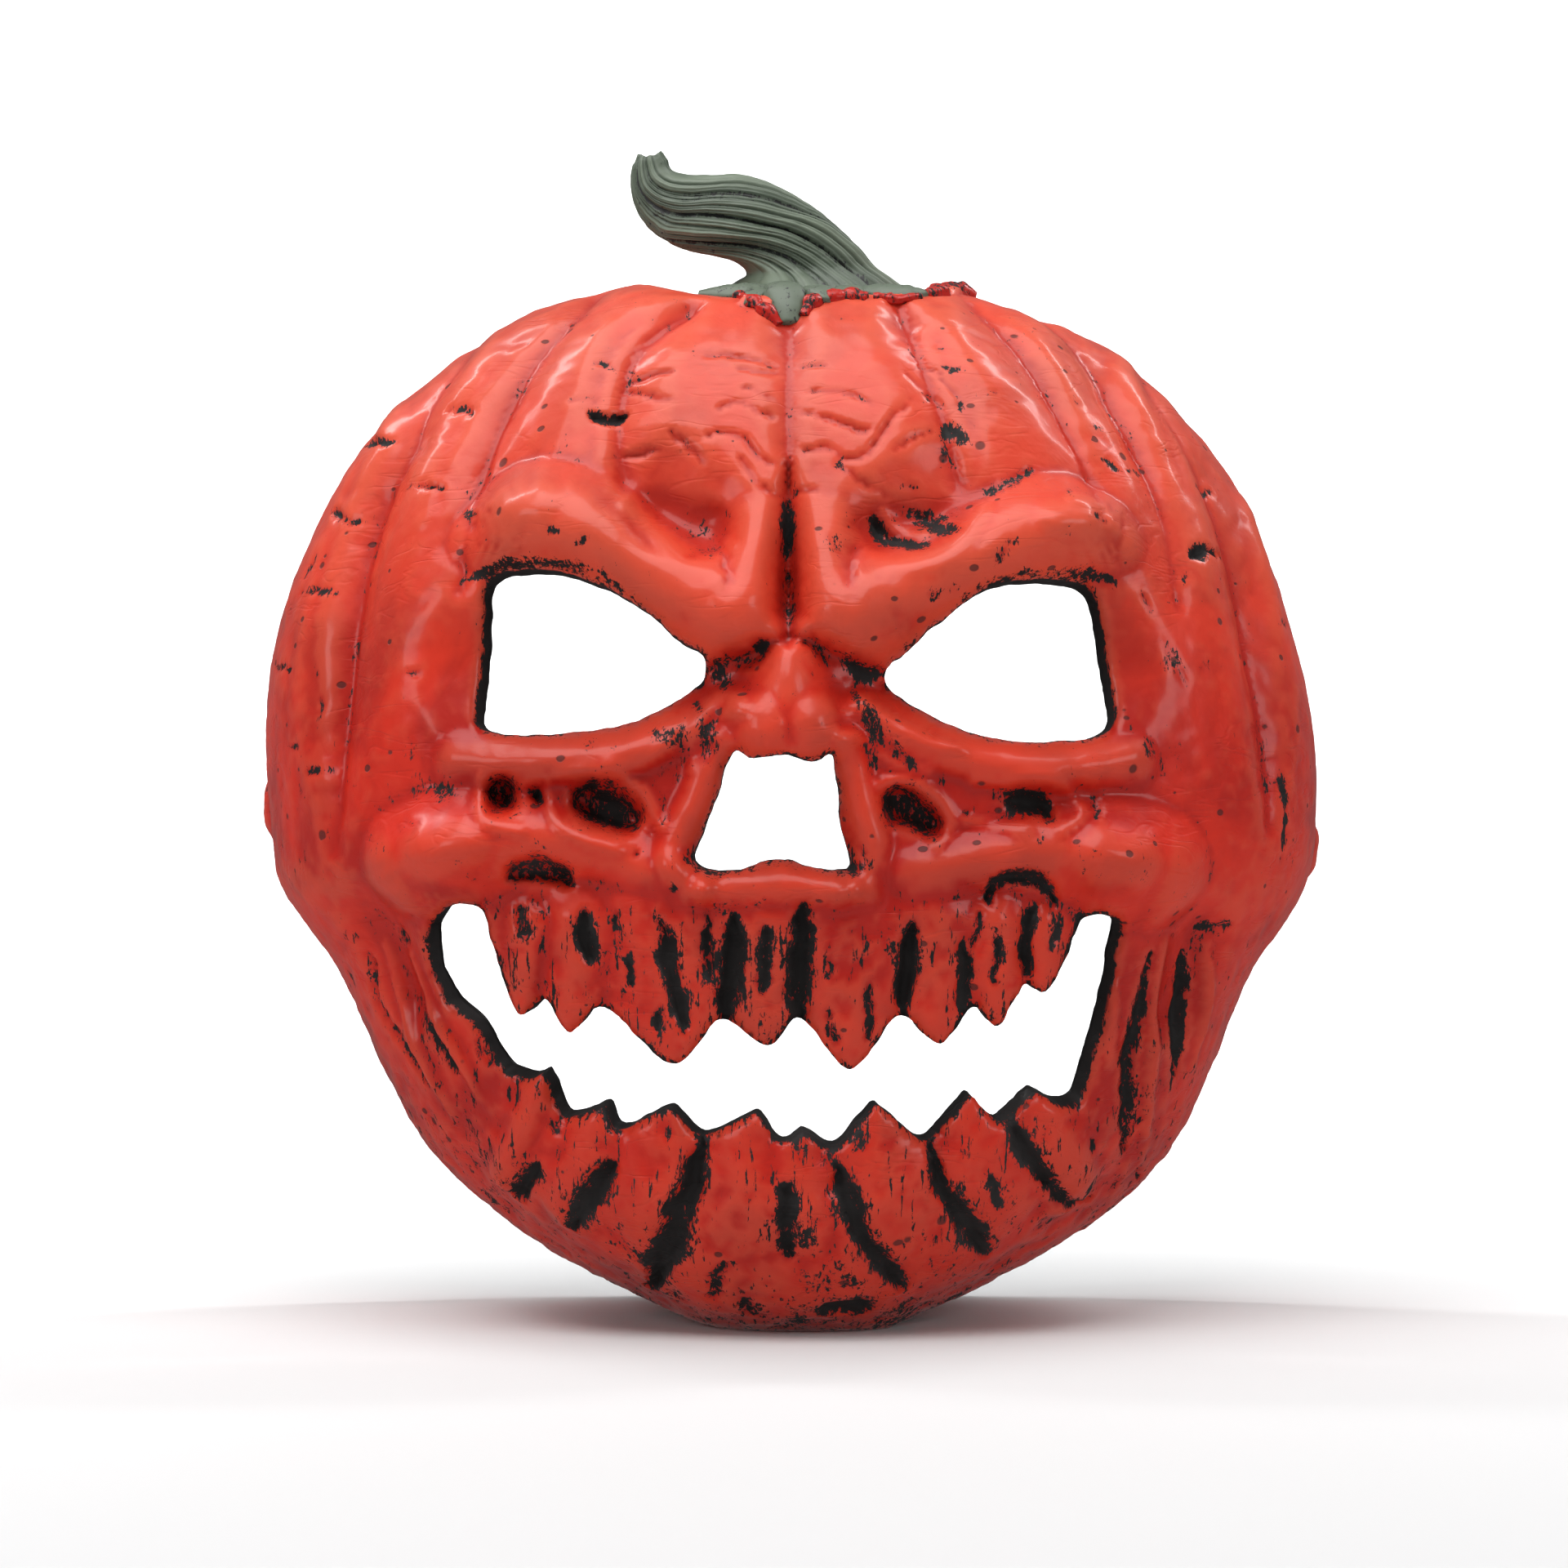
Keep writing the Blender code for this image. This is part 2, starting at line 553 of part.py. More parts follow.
def paint(name, colour, roughness):
    material = bpy.data.materials.new(name)
    material.use_nodes = True
    shader = material.node_tree.nodes["Principled BSDF"]
    shader.inputs["Base Color"].default_value = (*colour, 1.0)
    shader.inputs["Roughness"].default_value = roughness
    shader.inputs["Metallic"].default_value = 0.0
    return material


def main():
    clear_scene()
    collection = bpy.data.collections.new("pumpkin_mask")
    bpy.context.scene.collection.children.link(collection)
    build_shell(collection, paint("red_paint", (0.60, 0.06, 0.03), 0.42))
    build_stem(collection, paint("green_paint", (0.07, 0.11, 0.07), 0.55))


main()
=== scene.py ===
"""Pumpkin mask, dressed for its picture: the painted shell, its stem, a pale studio and the camera."""

import logging
import math
from dataclasses import dataclass, field
from enum import Enum

import bmesh
import bpy
import numpy as np
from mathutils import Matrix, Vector, kdtree, noise
from mathutils.geometry import delaunay_2d_cdt

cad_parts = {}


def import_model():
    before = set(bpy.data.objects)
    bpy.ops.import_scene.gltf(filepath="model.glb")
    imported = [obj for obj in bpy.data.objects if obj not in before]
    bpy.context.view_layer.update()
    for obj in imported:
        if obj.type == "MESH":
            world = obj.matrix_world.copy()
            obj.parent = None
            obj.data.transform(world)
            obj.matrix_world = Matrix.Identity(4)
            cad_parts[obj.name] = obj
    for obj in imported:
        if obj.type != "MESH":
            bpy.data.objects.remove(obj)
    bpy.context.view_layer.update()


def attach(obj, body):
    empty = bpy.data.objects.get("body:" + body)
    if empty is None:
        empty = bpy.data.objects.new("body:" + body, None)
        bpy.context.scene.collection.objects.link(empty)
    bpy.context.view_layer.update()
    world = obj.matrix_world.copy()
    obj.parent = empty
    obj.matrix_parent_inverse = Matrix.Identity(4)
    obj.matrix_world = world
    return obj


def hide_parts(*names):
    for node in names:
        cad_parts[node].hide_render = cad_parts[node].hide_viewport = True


log = logging.getLogger("pumpkin_mask")

Place = tuple[float, ...]
Path3 = tuple[Place, ...]
CLOSE = 1e-6


class Form(Enum):
    """How a form of the relief runs across its path."""

    ROLL = "roll"
    DISH = "dish"
    CREASE = "crease"
    GROOVE = "groove"
    WELT = "welt"


@dataclass(frozen=True)
class Stroke:
    """One form of the relief: its height as a share of the relief, its cross-section, the black
    paint in it from 0 to 1, and its path as x, z and half width in layout steps. A path that swells
    or fades also has the share of the height at each place."""

    height: float
    form: Form
    black_and_shade: float
    path: Path3


def strokes(form: Form, *rows: tuple[float, float, Path3]) -> tuple[Stroke, ...]:
    """Makes the strokes of one form.

    Args:
        form: the cross-section that they share.
        rows: height, black paint and path of each.

    Returns:
        The strokes, in the same order.
    """
    return tuple(Stroke(height, form, black_and_shade, path) for height, black_and_shade, path in rows)


# The shell's outline, anticlockwise from the viewer's right, in layout steps: x, z
OUTLINE: Path3 = (
    (642, 655), (636, 728), (620, 800), (592, 889), (559, 967), (509, 1045), (456, 1107),
    (400, 1156), (335, 1195), (252, 1222), (180, 1242), (110, 1245), (30, 1244), (-100, 1244),
    (-171, 1249), (-226, 1239), (-302, 1217), (-373, 1182), (-441, 1130), (-508, 1065),
    (-559, 990), (-604, 894), (-632, 802), (-641, 728), (-640, 650), (-633, 571), (-622, 515),
    (-589, 467), (-556, 425), (-525, 364), (-482, 274), (-431, 190), (-354, 123), (-274, 74),
    (-162, 26), (-80, -2), (20, -9), (110, -4), (165, 18), (260, 56), (362, 109), (448, 183),
    (504, 282), (544, 380), (571, 430), (614, 486), (632, 530), (642, 593),
)

# Straight run at the rim and fullness of the dome in front of it, every 45 degrees from the right
PROFILES: Path3 = (
    (0.18, 2.35), (0.24, 2.25), (0.30, 2.25), (0.24, 2.25),
    (0.18, 2.35), (0.28, 2.40), (0.60, 2.55), (0.28, 2.40),
)

# Holes, anticlockwise: x, z
RIGHT_EYE: Path3 = (
    (400, 716), (397, 750), (389, 800), (379, 855), (362, 884), (322, 891), (272, 889), (232, 876),
    (204, 856), (174, 832), (146, 806), (117, 780), (122, 757), (158, 732), (204, 710), (254, 696),
    (306, 692), (350, 694), (384, 700),
)
LEFT_EYE: Path3 = (
    (-108, 768), (-107, 797), (-140, 818), (-172, 847), (-217, 876), (-270, 898), (-328, 903),
    (-371, 890), (-378, 845), (-380, 800), (-384, 755), (-388, 716), (-372, 704), (-328, 700),
    (-268, 704), (-213, 711), (-168, 728), (-128, 750),
)
NOSE_HOLE: Path3 = (
    (72, 541), (62, 590), (57, 640), (50, 676), (25, 667), (-8, 676), (-46, 672), (-68, 681),
    (-79, 668), (-87, 640), (-102, 595), (-119, 552), (-104, 536), (-68, 535), (-33, 547),
    (-8, 550), (22, 541), (50, 536),
)
# Upper teeth from the viewer's left: tip x, tip z, next gap x, next gap z
UPPER_TEETH: Path3 = (
    (-328, 360, -299, 378), (-269, 337, -227, 368), (-142, 305, -85, 359), (-28, 332, 12, 363),
    (70, 302, 128, 361), (180, 328, 222, 369), (251, 346, 284, 396), (309, 388, 337, 430),
)
# Lower teeth from the viewer's right: tip x, tip z, next gap x, next gap z
LOWER_TEETH: Path3 = (
    (297, 266, 254, 232), (217, 262, 162, 213), (102, 258, 51, 212), (12, 230, -11, 217),
    (-41, 250, -108, 222), (-146, 252, -208, 225), (-227, 250, -275, 236), (-302, 287, -318, 281),
)
MOUTH_LEFT: Path3 = (
    (-347, 289), (-369, 315), (-387, 347), (-423, 377), (-443, 414), (-446, 455), (-433, 478),
    (-418, 490), (-400, 493),
)
MOUTH_START: Path3 = ((-378, 486), (-365, 446), (-347, 392))
MOUTH_RIGHT: Path3 = (
    (345, 452), (359, 476), (384, 480), (403, 469), (399, 430), (391, 385), (379, 340), (365, 296),
    (351, 256), (328, 251),
)

# Forms that show inside the shell too. A row is: height, black paint, path
HOLLOWS = strokes(
    Form.DISH,
    (-0.50, 0.0, ((-345, 790, 130), (-260, 800, 165), (-150, 790, 120))),
    (-0.50, 0.0, ((150, 790, 120), (265, 800, 165), (350, 790, 130))),
    (-0.35, 0.0, ((-500, 455, 80), (-470, 390, 70))),
    (-0.35, 0.0, ((490, 440, 80), (470, 380, 70))),
    (-0.36, 0.0, ((-158, 1000, 92), (-112, 972, 78))),
    (-0.26, 0.0, ((-158, 962, 54), (-104, 948, 50))),
    (-0.30, 0.0, ((178, 992, 88), (128, 966, 72))),
    (-0.20, 0.0, ((168, 954, 54), (108, 946, 48))),
    (0.40, 0.0, ((-300, 180, 120), (-120, 110, 140), (40, 95, 140), (200, 130, 140), (310, 190, 120))),
)
ROLLS = strokes(
    Form.ROLL,
    # brows, which turn up beside the crease between them
    (0.78, 0.0, ((-382, 944, 44, 0.30), (-350, 956, 64, 0.80), (-308, 966, 80, 1.0), (-248, 946, 74, 0.95),
                 (-193, 908, 70, 0.92), (-143, 870, 72, 0.98), (-90, 846, 82, 1.12), (-60, 868, 56, 0.90),
                 (-48, 915, 40, 0.50), (-46, 960, 38, 0.26), (-50, 996, 34, 0.06))),
    (0.78, 0.0, ((396, 940, 44, 0.45), (366, 950, 60, 0.88), (322, 952, 76, 1.0), (262, 928, 74, 0.95),
                 (202, 898, 70, 0.92), (142, 866, 72, 0.98), (90, 844, 84, 1.12), (56, 866, 56, 0.90),
                 (44, 912, 40, 0.50), (42, 958, 38, 0.26), (46, 996, 34, 0.06))),
    # nose: bridge and the two lobes of its tip
    (0.66, 0.0, ((-3, 820, 30, 0.5), (-4, 770, 46, 0.9), (-6, 728, 74, 1.0), (-6, 706, 88, 1.0))),
    (0.24, 0.0, ((-50, 716, 40), (-44, 704, 40))),
    (0.24, 0.0, ((38, 714, 40), (42, 702, 40))),
    # cheek bones
    (0.72, 0.0, ((-470, 540, 74, 0.8), (-421, 557, 78, 1.0), (-354, 570, 58, 0.8), (-290, 570, 44, 0.62),
                 (-230, 556, 38, 0.5), (-160, 536, 34, 0.3))),
    (0.72, 0.0, ((450, 532, 78, 0.8), (398, 546, 80, 1.0), (330, 556, 58, 0.8), (268, 553, 44, 0.62),
                 (205, 542, 38, 0.5), (145, 530, 34, 0.3))),
    # lids under the eyes, joined to the nose
    (0.40, 0.0, ((-412, 668, 34, 0.5), (-300, 670, 32, 1.0), (-210, 678, 32, 1.0), (-130, 708, 32, 0.9),
                 (-80, 738, 30, 0.8))),
    (0.40, 0.0, ((420, 668, 36, 0.7), (320, 662, 32, 1.0), (225, 673, 32, 1.0), (140, 702, 32, 0.9),
                 (90, 732, 30, 0.8))),
    # walls beside the nose hole, and the lip under it
    (0.28, 0.0, ((-92, 690, 24), (-118, 620, 26), (-144, 560, 28), (-120, 515, 28))),
    (0.28, 0.0, ((74, 690, 22), (86, 620, 24), (100, 560, 26), (88, 515, 28))),
    (0.34, 0.0, ((-96, 512, 26), (-20, 522, 28), (64, 512, 26))),
)
BROW_CREASE = strokes(
    Form.CREASE,
    (-0.34, 0.22, ((-108, 782, 16, 0.5), (-72, 790, 22, 1.0), (-34, 806, 22, 1.0), (-8, 822, 16, 0.6))),
    (-0.34, 0.22, ((112, 778, 16, 0.5), (72, 788, 22, 1.0), (32, 804, 22, 1.0), (4, 822, 16, 0.6))),
    (-0.62, 0.0, ((-3, 1030, 20, 0.3), (-3, 960, 28, 0.7), (-4, 880, 34, 1.0), (-4, 812, 24, 0.7))),
)
# Creases between the pumpkin's lobes, from the stem outwards
LOBES = strokes(
    Form.CREASE,
    (-0.24, 0.0, ((-3, 1225, 50, 1.0), (-3, 1150, 40, 0.8), (-3, 1060, 26, 0.6), (-3, 1000, 20, 0.4))),
    (-0.30, 0.0, ((-120, 1222, 56, 1.0), (-172, 1191, 60, 1.0), (-196, 1155, 60, 0.9), (-207, 1100, 56, 0.8),
                  (-210, 1050, 50, 0.6), (-204, 1006, 40, 0.4))),
    (-0.46, 0.0, ((-240, 1232, 74, 0.3), (-315, 1170, 92, 0.75), (-350, 1110, 96, 1.0), (-371, 1050, 92, 0.9),
                  (-392, 960, 72, 0.6), (-404, 880, 56, 0.3))),
    (-0.50, 0.0, ((-370, 1190, 70, 0.1), (-442, 1110, 92, 0.4), (-472, 1058, 98, 0.7), (-506, 1000, 100, 0.9),
                  (-530, 930, 100, 1.0), (-544, 835, 96, 0.95), (-552, 730, 88, 0.8), (-556, 640, 74, 0.5),
                  (-560, 560, 56, 0.2))),
    (-0.28, 0.0, ((130, 1224, 56, 1.0), (147, 1192, 60, 1.0), (163, 1148, 60, 0.9), (181, 1100, 56, 0.8),
                  (195, 1050, 48, 0.7), (206, 1000, 38, 0.4))),
    (-0.40, 0.0, ((220, 1226, 70, 0.3), (280, 1180, 84, 0.8), (311, 1140, 86, 1.0), (337, 1084, 82, 0.9),
                  (356, 1038, 74, 0.7), (376, 970, 58, 0.4))),
    (-0.44, 0.0, ((290, 1212, 64, 0.15), (338, 1190, 78, 0.45), (376, 1157, 88, 0.8), (407, 1110, 92, 1.0),
                  (430, 1062, 92, 1.0), (448, 1014, 86, 0.8), (462, 950, 70, 0.5), (472, 860, 54, 0.2))),
    (-0.48, 0.0, ((430, 1130, 60, 0.1), (478, 1067, 84, 0.35), (512, 1016, 92, 0.6), (538, 960, 96, 0.75),
                  (556, 904, 96, 0.85), (570, 848, 94, 0.95), (583, 760, 88, 0.85), (591, 670, 74, 0.6),
                  (588, 590, 54, 0.25))),
)
# Pits under the eyes and under the cheek bones, which show inside the shell too
PITS = strokes(
    Form.GROOVE,
    (-0.42, 0.54, ((-358, 642, 20), (-352, 610, 24))),
    (-0.26, 0.70, ((-318, 630, 15), (-312, 618, 13))),
    (-0.46, 0.50, ((-262, 626, 26), (-228, 612, 34), (-194, 598, 26))),
    (-0.34, 0.58, ((-352, 527, 10), (-308, 540, 21), (-268, 520, 13))),
    (-0.42, 0.54, ((126, 620, 26), (150, 606, 32), (174, 590, 22))),
    (-0.20, 0.95, ((238, 494, 8), (246, 516, 10), (278, 527, 11), (312, 516, 10), (328, 494, 7))),
    (-0.20, 0.75, ((268, 622, 14), (296, 616, 18), (318, 600, 12))),
)

# Forms of the outer face alone
WELTS = strokes(
    Form.WELT,
    # crests that stand beside the creases of the lobes
    (0.07, 0.0, ((-176, 1200, 13, 0.5), (-188, 1191, 15, 1.0), (-209, 1157, 17, 1.0), (-222, 1111, 17, 1.0),
                 (-226, 1064, 17, 1.0), (-226, 1031, 17, 1.0), (-209, 993, 19, 1.1), (-167, 951, 20, 1.2),
                 (-138, 926, 17, 0.5))),
    (0.08, 0.0, ((-300, 1200, 24, 0.3), (-340, 1158, 34, 0.9), (-376, 1100, 36, 1.0), (-398, 1046, 34, 0.9),
                 (-414, 970, 26, 0.3))),
    (0.09, 0.0, ((-424, 1150, 24, 0.2), (-476, 1100, 34, 0.8), (-504, 1046, 36, 1.0), (-534, 990, 36, 1.0),
                 (-556, 925, 36, 1.0), (-570, 835, 34, 1.0), (-574, 740, 30, 0.7), (-574, 650, 24, 0.2))),
    (0.05, 0.0, ((161, 1196, 15), (178, 1148, 17), (196, 1100, 17), (209, 1052, 17), (213, 1022, 13))),
    (0.07, 0.0, ((272, 1205, 22, 0.4), (304, 1180, 30, 0.9), (334, 1138, 32, 1.0), (358, 1082, 30, 0.9),
                 (374, 1036, 24, 0.3))),
    (0.08, 0.0, ((362, 1192, 24, 0.3), (400, 1156, 32, 0.9), (430, 1108, 34, 1.0), (452, 1060, 34, 1.0),
                 (468, 1010, 30, 0.6), (476, 960, 24, 0.2))),
    (0.08, 0.0, ((456, 1106, 22, 0.2), (502, 1064, 32, 0.8), (536, 1012, 34, 1.0), (562, 956, 34, 1.0),
                 (580, 900, 34, 1.0), (594, 845, 32, 0.8), (604, 760, 26, 0.3))),
    # rims of the bowls above the brows, and the swirl in the right one
    (0.09, 0.0, ((-200, 985, 14), (-160, 946, 20), (-114, 916, 24), (-80, 930, 18))),
    (0.09, 0.0, ((78, 940, 16), (112, 916, 22), (165, 912, 24), (205, 935, 20), (236, 975, 14))),
    (0.14, 0.0, ((114, 972, 11, 0.5), (130, 952, 14, 1.0), (160, 947, 13, 1.0), (190, 958, 9, 0.4))),
    # folds of the cheeks and jaw
    (0.14, 0.0, ((-472, 425, 12, 0.5), (-440, 365, 15, 1.0), (-399, 301, 13, 1.0), (-380, 262, 9, 0.4))),
    (0.14, 0.0, ((-505, 436, 12, 0.5), (-474, 360, 15, 1.0), (-444, 301, 13, 1.0), (-410, 240, 10, 0.4))),
    (0.16, 0.0, ((458, 445, 13, 0.6), (446, 370, 16, 1.0), (436, 290, 16, 1.0), (430, 215, 12, 0.5))),
    (0.14, 0.0, ((514, 440, 13, 0.5), (504, 370, 15, 1.0), (488, 300, 13, 0.5))),
    (0.12, 0.0, ((385, 440, 12, 0.4), (392, 370, 15, 1.0), (388, 300, 13, 0.5))),
    # rims of the pits
    (0.12, 0.0, ((-382, 646, 11), (-376, 598, 13), (-330, 582, 13))),
    (0.10, 0.0, ((-328, 640, 9), (-300, 646, 10), (-292, 600, 12), (-262, 575, 12), (-212, 560, 12))),
    (0.12, 0.0, ((-286, 650, 11), (-236, 656, 12), (-186, 636, 12), (-160, 590, 12))),
    (0.09, 0.0, ((108, 640, 10), (136, 644, 12), (176, 628, 12), (198, 590, 12), (178, 566, 11))),
    (0.10, 0.0, ((225, 644, 12), (258, 640, 12), (290, 648, 11), (330, 640, 12), (356, 604, 12), (330, 584, 11))),
    (0.09, 0.0, ((215, 596, 12), (250, 590, 13), (290, 586, 12))),
    (0.09, 0.0, ((84, 742, 11), (122, 716, 13), (168, 690, 12), (210, 684, 9))),
    (0.08, 0.0, ((80, 700, 10), (118, 672, 12), (168, 656, 10))),
    (0.08, 0.0, ((-90, 748, 11), (-116, 706, 12), (-124, 660, 10))),
    (0.07, 0.0, ((-150, 690, 10), (-190, 660, 11), (-226, 664, 9))),
    # bulges of the brow ends
    (0.10, 0.0, ((-342, 978, 34), (-306, 982, 36))),
    (0.14, 0.0, ((322, 962, 32), (356, 964, 32))),
    (0.12, 0.0, ((340, 985, 14), (372, 975, 14), (392, 946, 12))),
    (0.22, 0.0, ((-440, 560, 50), (-400, 568, 46))),
    (0.20, 0.0, ((380, 550, 50), (416, 545, 48))),
    # crumbs round the foot of the stem
    (0.16, 0.6, ((-56, 1222, 9), (-40, 1226, 11), (-24, 1218, 9))),
    (0.16, 0.6, ((36, 1226, 10), (52, 1234, 11), (72, 1236, 10))),
    (0.16, 0.6, ((84, 1234, 10), (98, 1232, 11))),
    (0.14, 0.6, ((112, 1228, 9), (134, 1232, 10))),
    (0.24, 0.1, ((186, 1238, 15), (214, 1236, 14))),
)
GROOVES = strokes(
    Form.GROOVE,
    # between and along the upper teeth
    (-0.14, 0.8, ((-330, 486, 13), (-320, 455, 12))),
    (-0.20, 1.0, ((-256, 486, 12), (-250, 450, 14), (-243, 422, 9))),
    (-0.14, 0.9, ((-198, 435, 6), (-193, 396, 6))),
    (-0.10, 0.5, ((-218, 486, 5), (-208, 452, 6))),
    (-0.20, 1.0, ((-160, 483, 7), (-149, 436, 12), (-136, 378, 14), (-124, 338, 7))),
    (-0.12, 0.8, ((-162, 375, 6), (-158, 345, 7))),
    (-0.14, 0.9, ((-103, 484, 6), (-100, 440, 8), (-100, 400, 6))),
    (-0.24, 1.0, ((-68, 480, 14), (-70, 420, 18), (-79, 360, 16))),
    (-0.16, 1.0, ((-27, 478, 8), (-31, 430, 10), (-35, 388, 7))),
    (-0.24, 1.0, ((18, 496, 13), (9, 430, 17), (9, 366, 15))),
    (-0.08, 0.6, ((46, 450, 5), (43, 408, 6))),
    (-0.12, 0.8, ((44, 378, 6), (50, 330, 7))),
    (-0.12, 0.9, ((93, 400, 7), (93, 335, 7))),
    (-0.22, 1.0, ((147, 466, 15), (142, 413, 15), (134, 370, 12))),
    (-0.14, 0.9, ((214, 450, 9), (211, 400, 11), (208, 365, 9))),
    (-0.10, 0.7, ((232, 486, 5), (226, 440, 6))),
    (-0.12, 0.9, ((250, 460, 7), (247, 392, 6))),
    (-0.16, 0.9, ((298, 492, 8), (287, 458, 9), (284, 404, 8))),
    (-0.10, 0.6, ((325, 480, 5), (318, 440, 6))),
    # pits of the cheeks
    (-0.10, 0.7, ((-190, 560, 9), (-184, 556, 8))),
    (-0.12, 0.8, ((372, 622, 7), (375, 600, 7))),
    (-0.08, 0.7, ((210, 604, 8), (216, 600, 7))),
    # furrows of the chin
    (-0.12, 0.9, ((-288, 232, 14), (-280, 222, 12))),
    (-0.18, 1.0, ((-298, 189, 14), (-317, 150, 15))),
    (-0.22, 1.0, ((-212, 186, 20), (-234, 148, 21), (-252, 120, 13))),
    (-0.24, 1.0, ((-106, 214, 13), (-115, 178, 16), (-132, 122, 20), (-149, 71, 18), (-168, 42, 12))),
    (-0.10, 0.8, ((-73, 88, 8), (-90, 43, 8))),
    (-0.08, 0.8, ((-51, 42, 14), (-44, 22, 16))),
    (-0.18, 1.0, ((-5, 176, 11), (-4, 130, 14), (-2, 94, 14))),
    (-0.22, 1.0, ((52, 190, 12), (65, 155, 17), (82, 116, 13), (104, 82, 16), (128, 54, 11))),
    (-0.22, 1.0, ((164, 204, 11), (177, 167, 12), (202, 127, 20), (222, 88, 13))),
    (-0.16, 0.9, ((264, 234, 9), (278, 200, 12), (301, 167, 10), (329, 144, 9), (360, 138, 8))),
    (-0.10, 0.9, ((40, 30, 20), (84, 28, 20))),
    (-0.08, 0.7, ((233, 174, 7), (233, 144, 7))),
    (-0.10, 0.9, ((359, 216, 9), (357, 206, 9))),
    (-0.08, 0.9, ((352, 166, 9), (348, 158, 8))),
    (-0.10, 0.9, ((420, 174, 11), (425, 164, 11))),
    (-0.08, 0.9, ((314, 134, 9), (320, 130, 8))),
    # furrows of the jaw's sides
    (-0.07, 0.55, ((-490, 460, 11), (-474, 440, 12))),
    (-0.12, 0.5, ((-517, 425, 9), (-500, 369, 11), (-455, 301, 10), (-440, 278, 8))),
    (-0.12, 0.65, ((-446, 360, 8), (-421, 318, 10), (-400, 283, 8))),
    (-0.07, 0.5, ((-384, 326, 10), (-360, 294, 10))),
    (-0.14, 0.75, ((441, 436, 8), (424, 363, 12), (410, 290, 14), (404, 195, 13))),
    (-0.14, 0.9, ((491, 425, 9), (483, 369, 12), (469, 313, 14), (463, 283, 8))),
    # deep slits of the lobes
    (-0.16, 1.0, ((-245, 1096, 6), (-222, 1086, 10), (-199, 1092, 6))),
    (-0.10, 0.9, ((-418, 1104, 4), (-403, 1100, 6), (-388, 1097, 4))),
    (-0.12, 0.9, ((-523, 1050, 8), (-487, 1062, 7))),
    (-0.10, 0.8, ((-452, 1002, 5), (-426, 999, 5))),
    (-0.12, 0.9, ((-561, 976, 6), (-556, 968, 8), (-538, 964, 4))),
    (-0.16, 1.0, ((484, 920, 5), (500, 924, 11), (520, 925, 7), (547, 925, 3))),
)
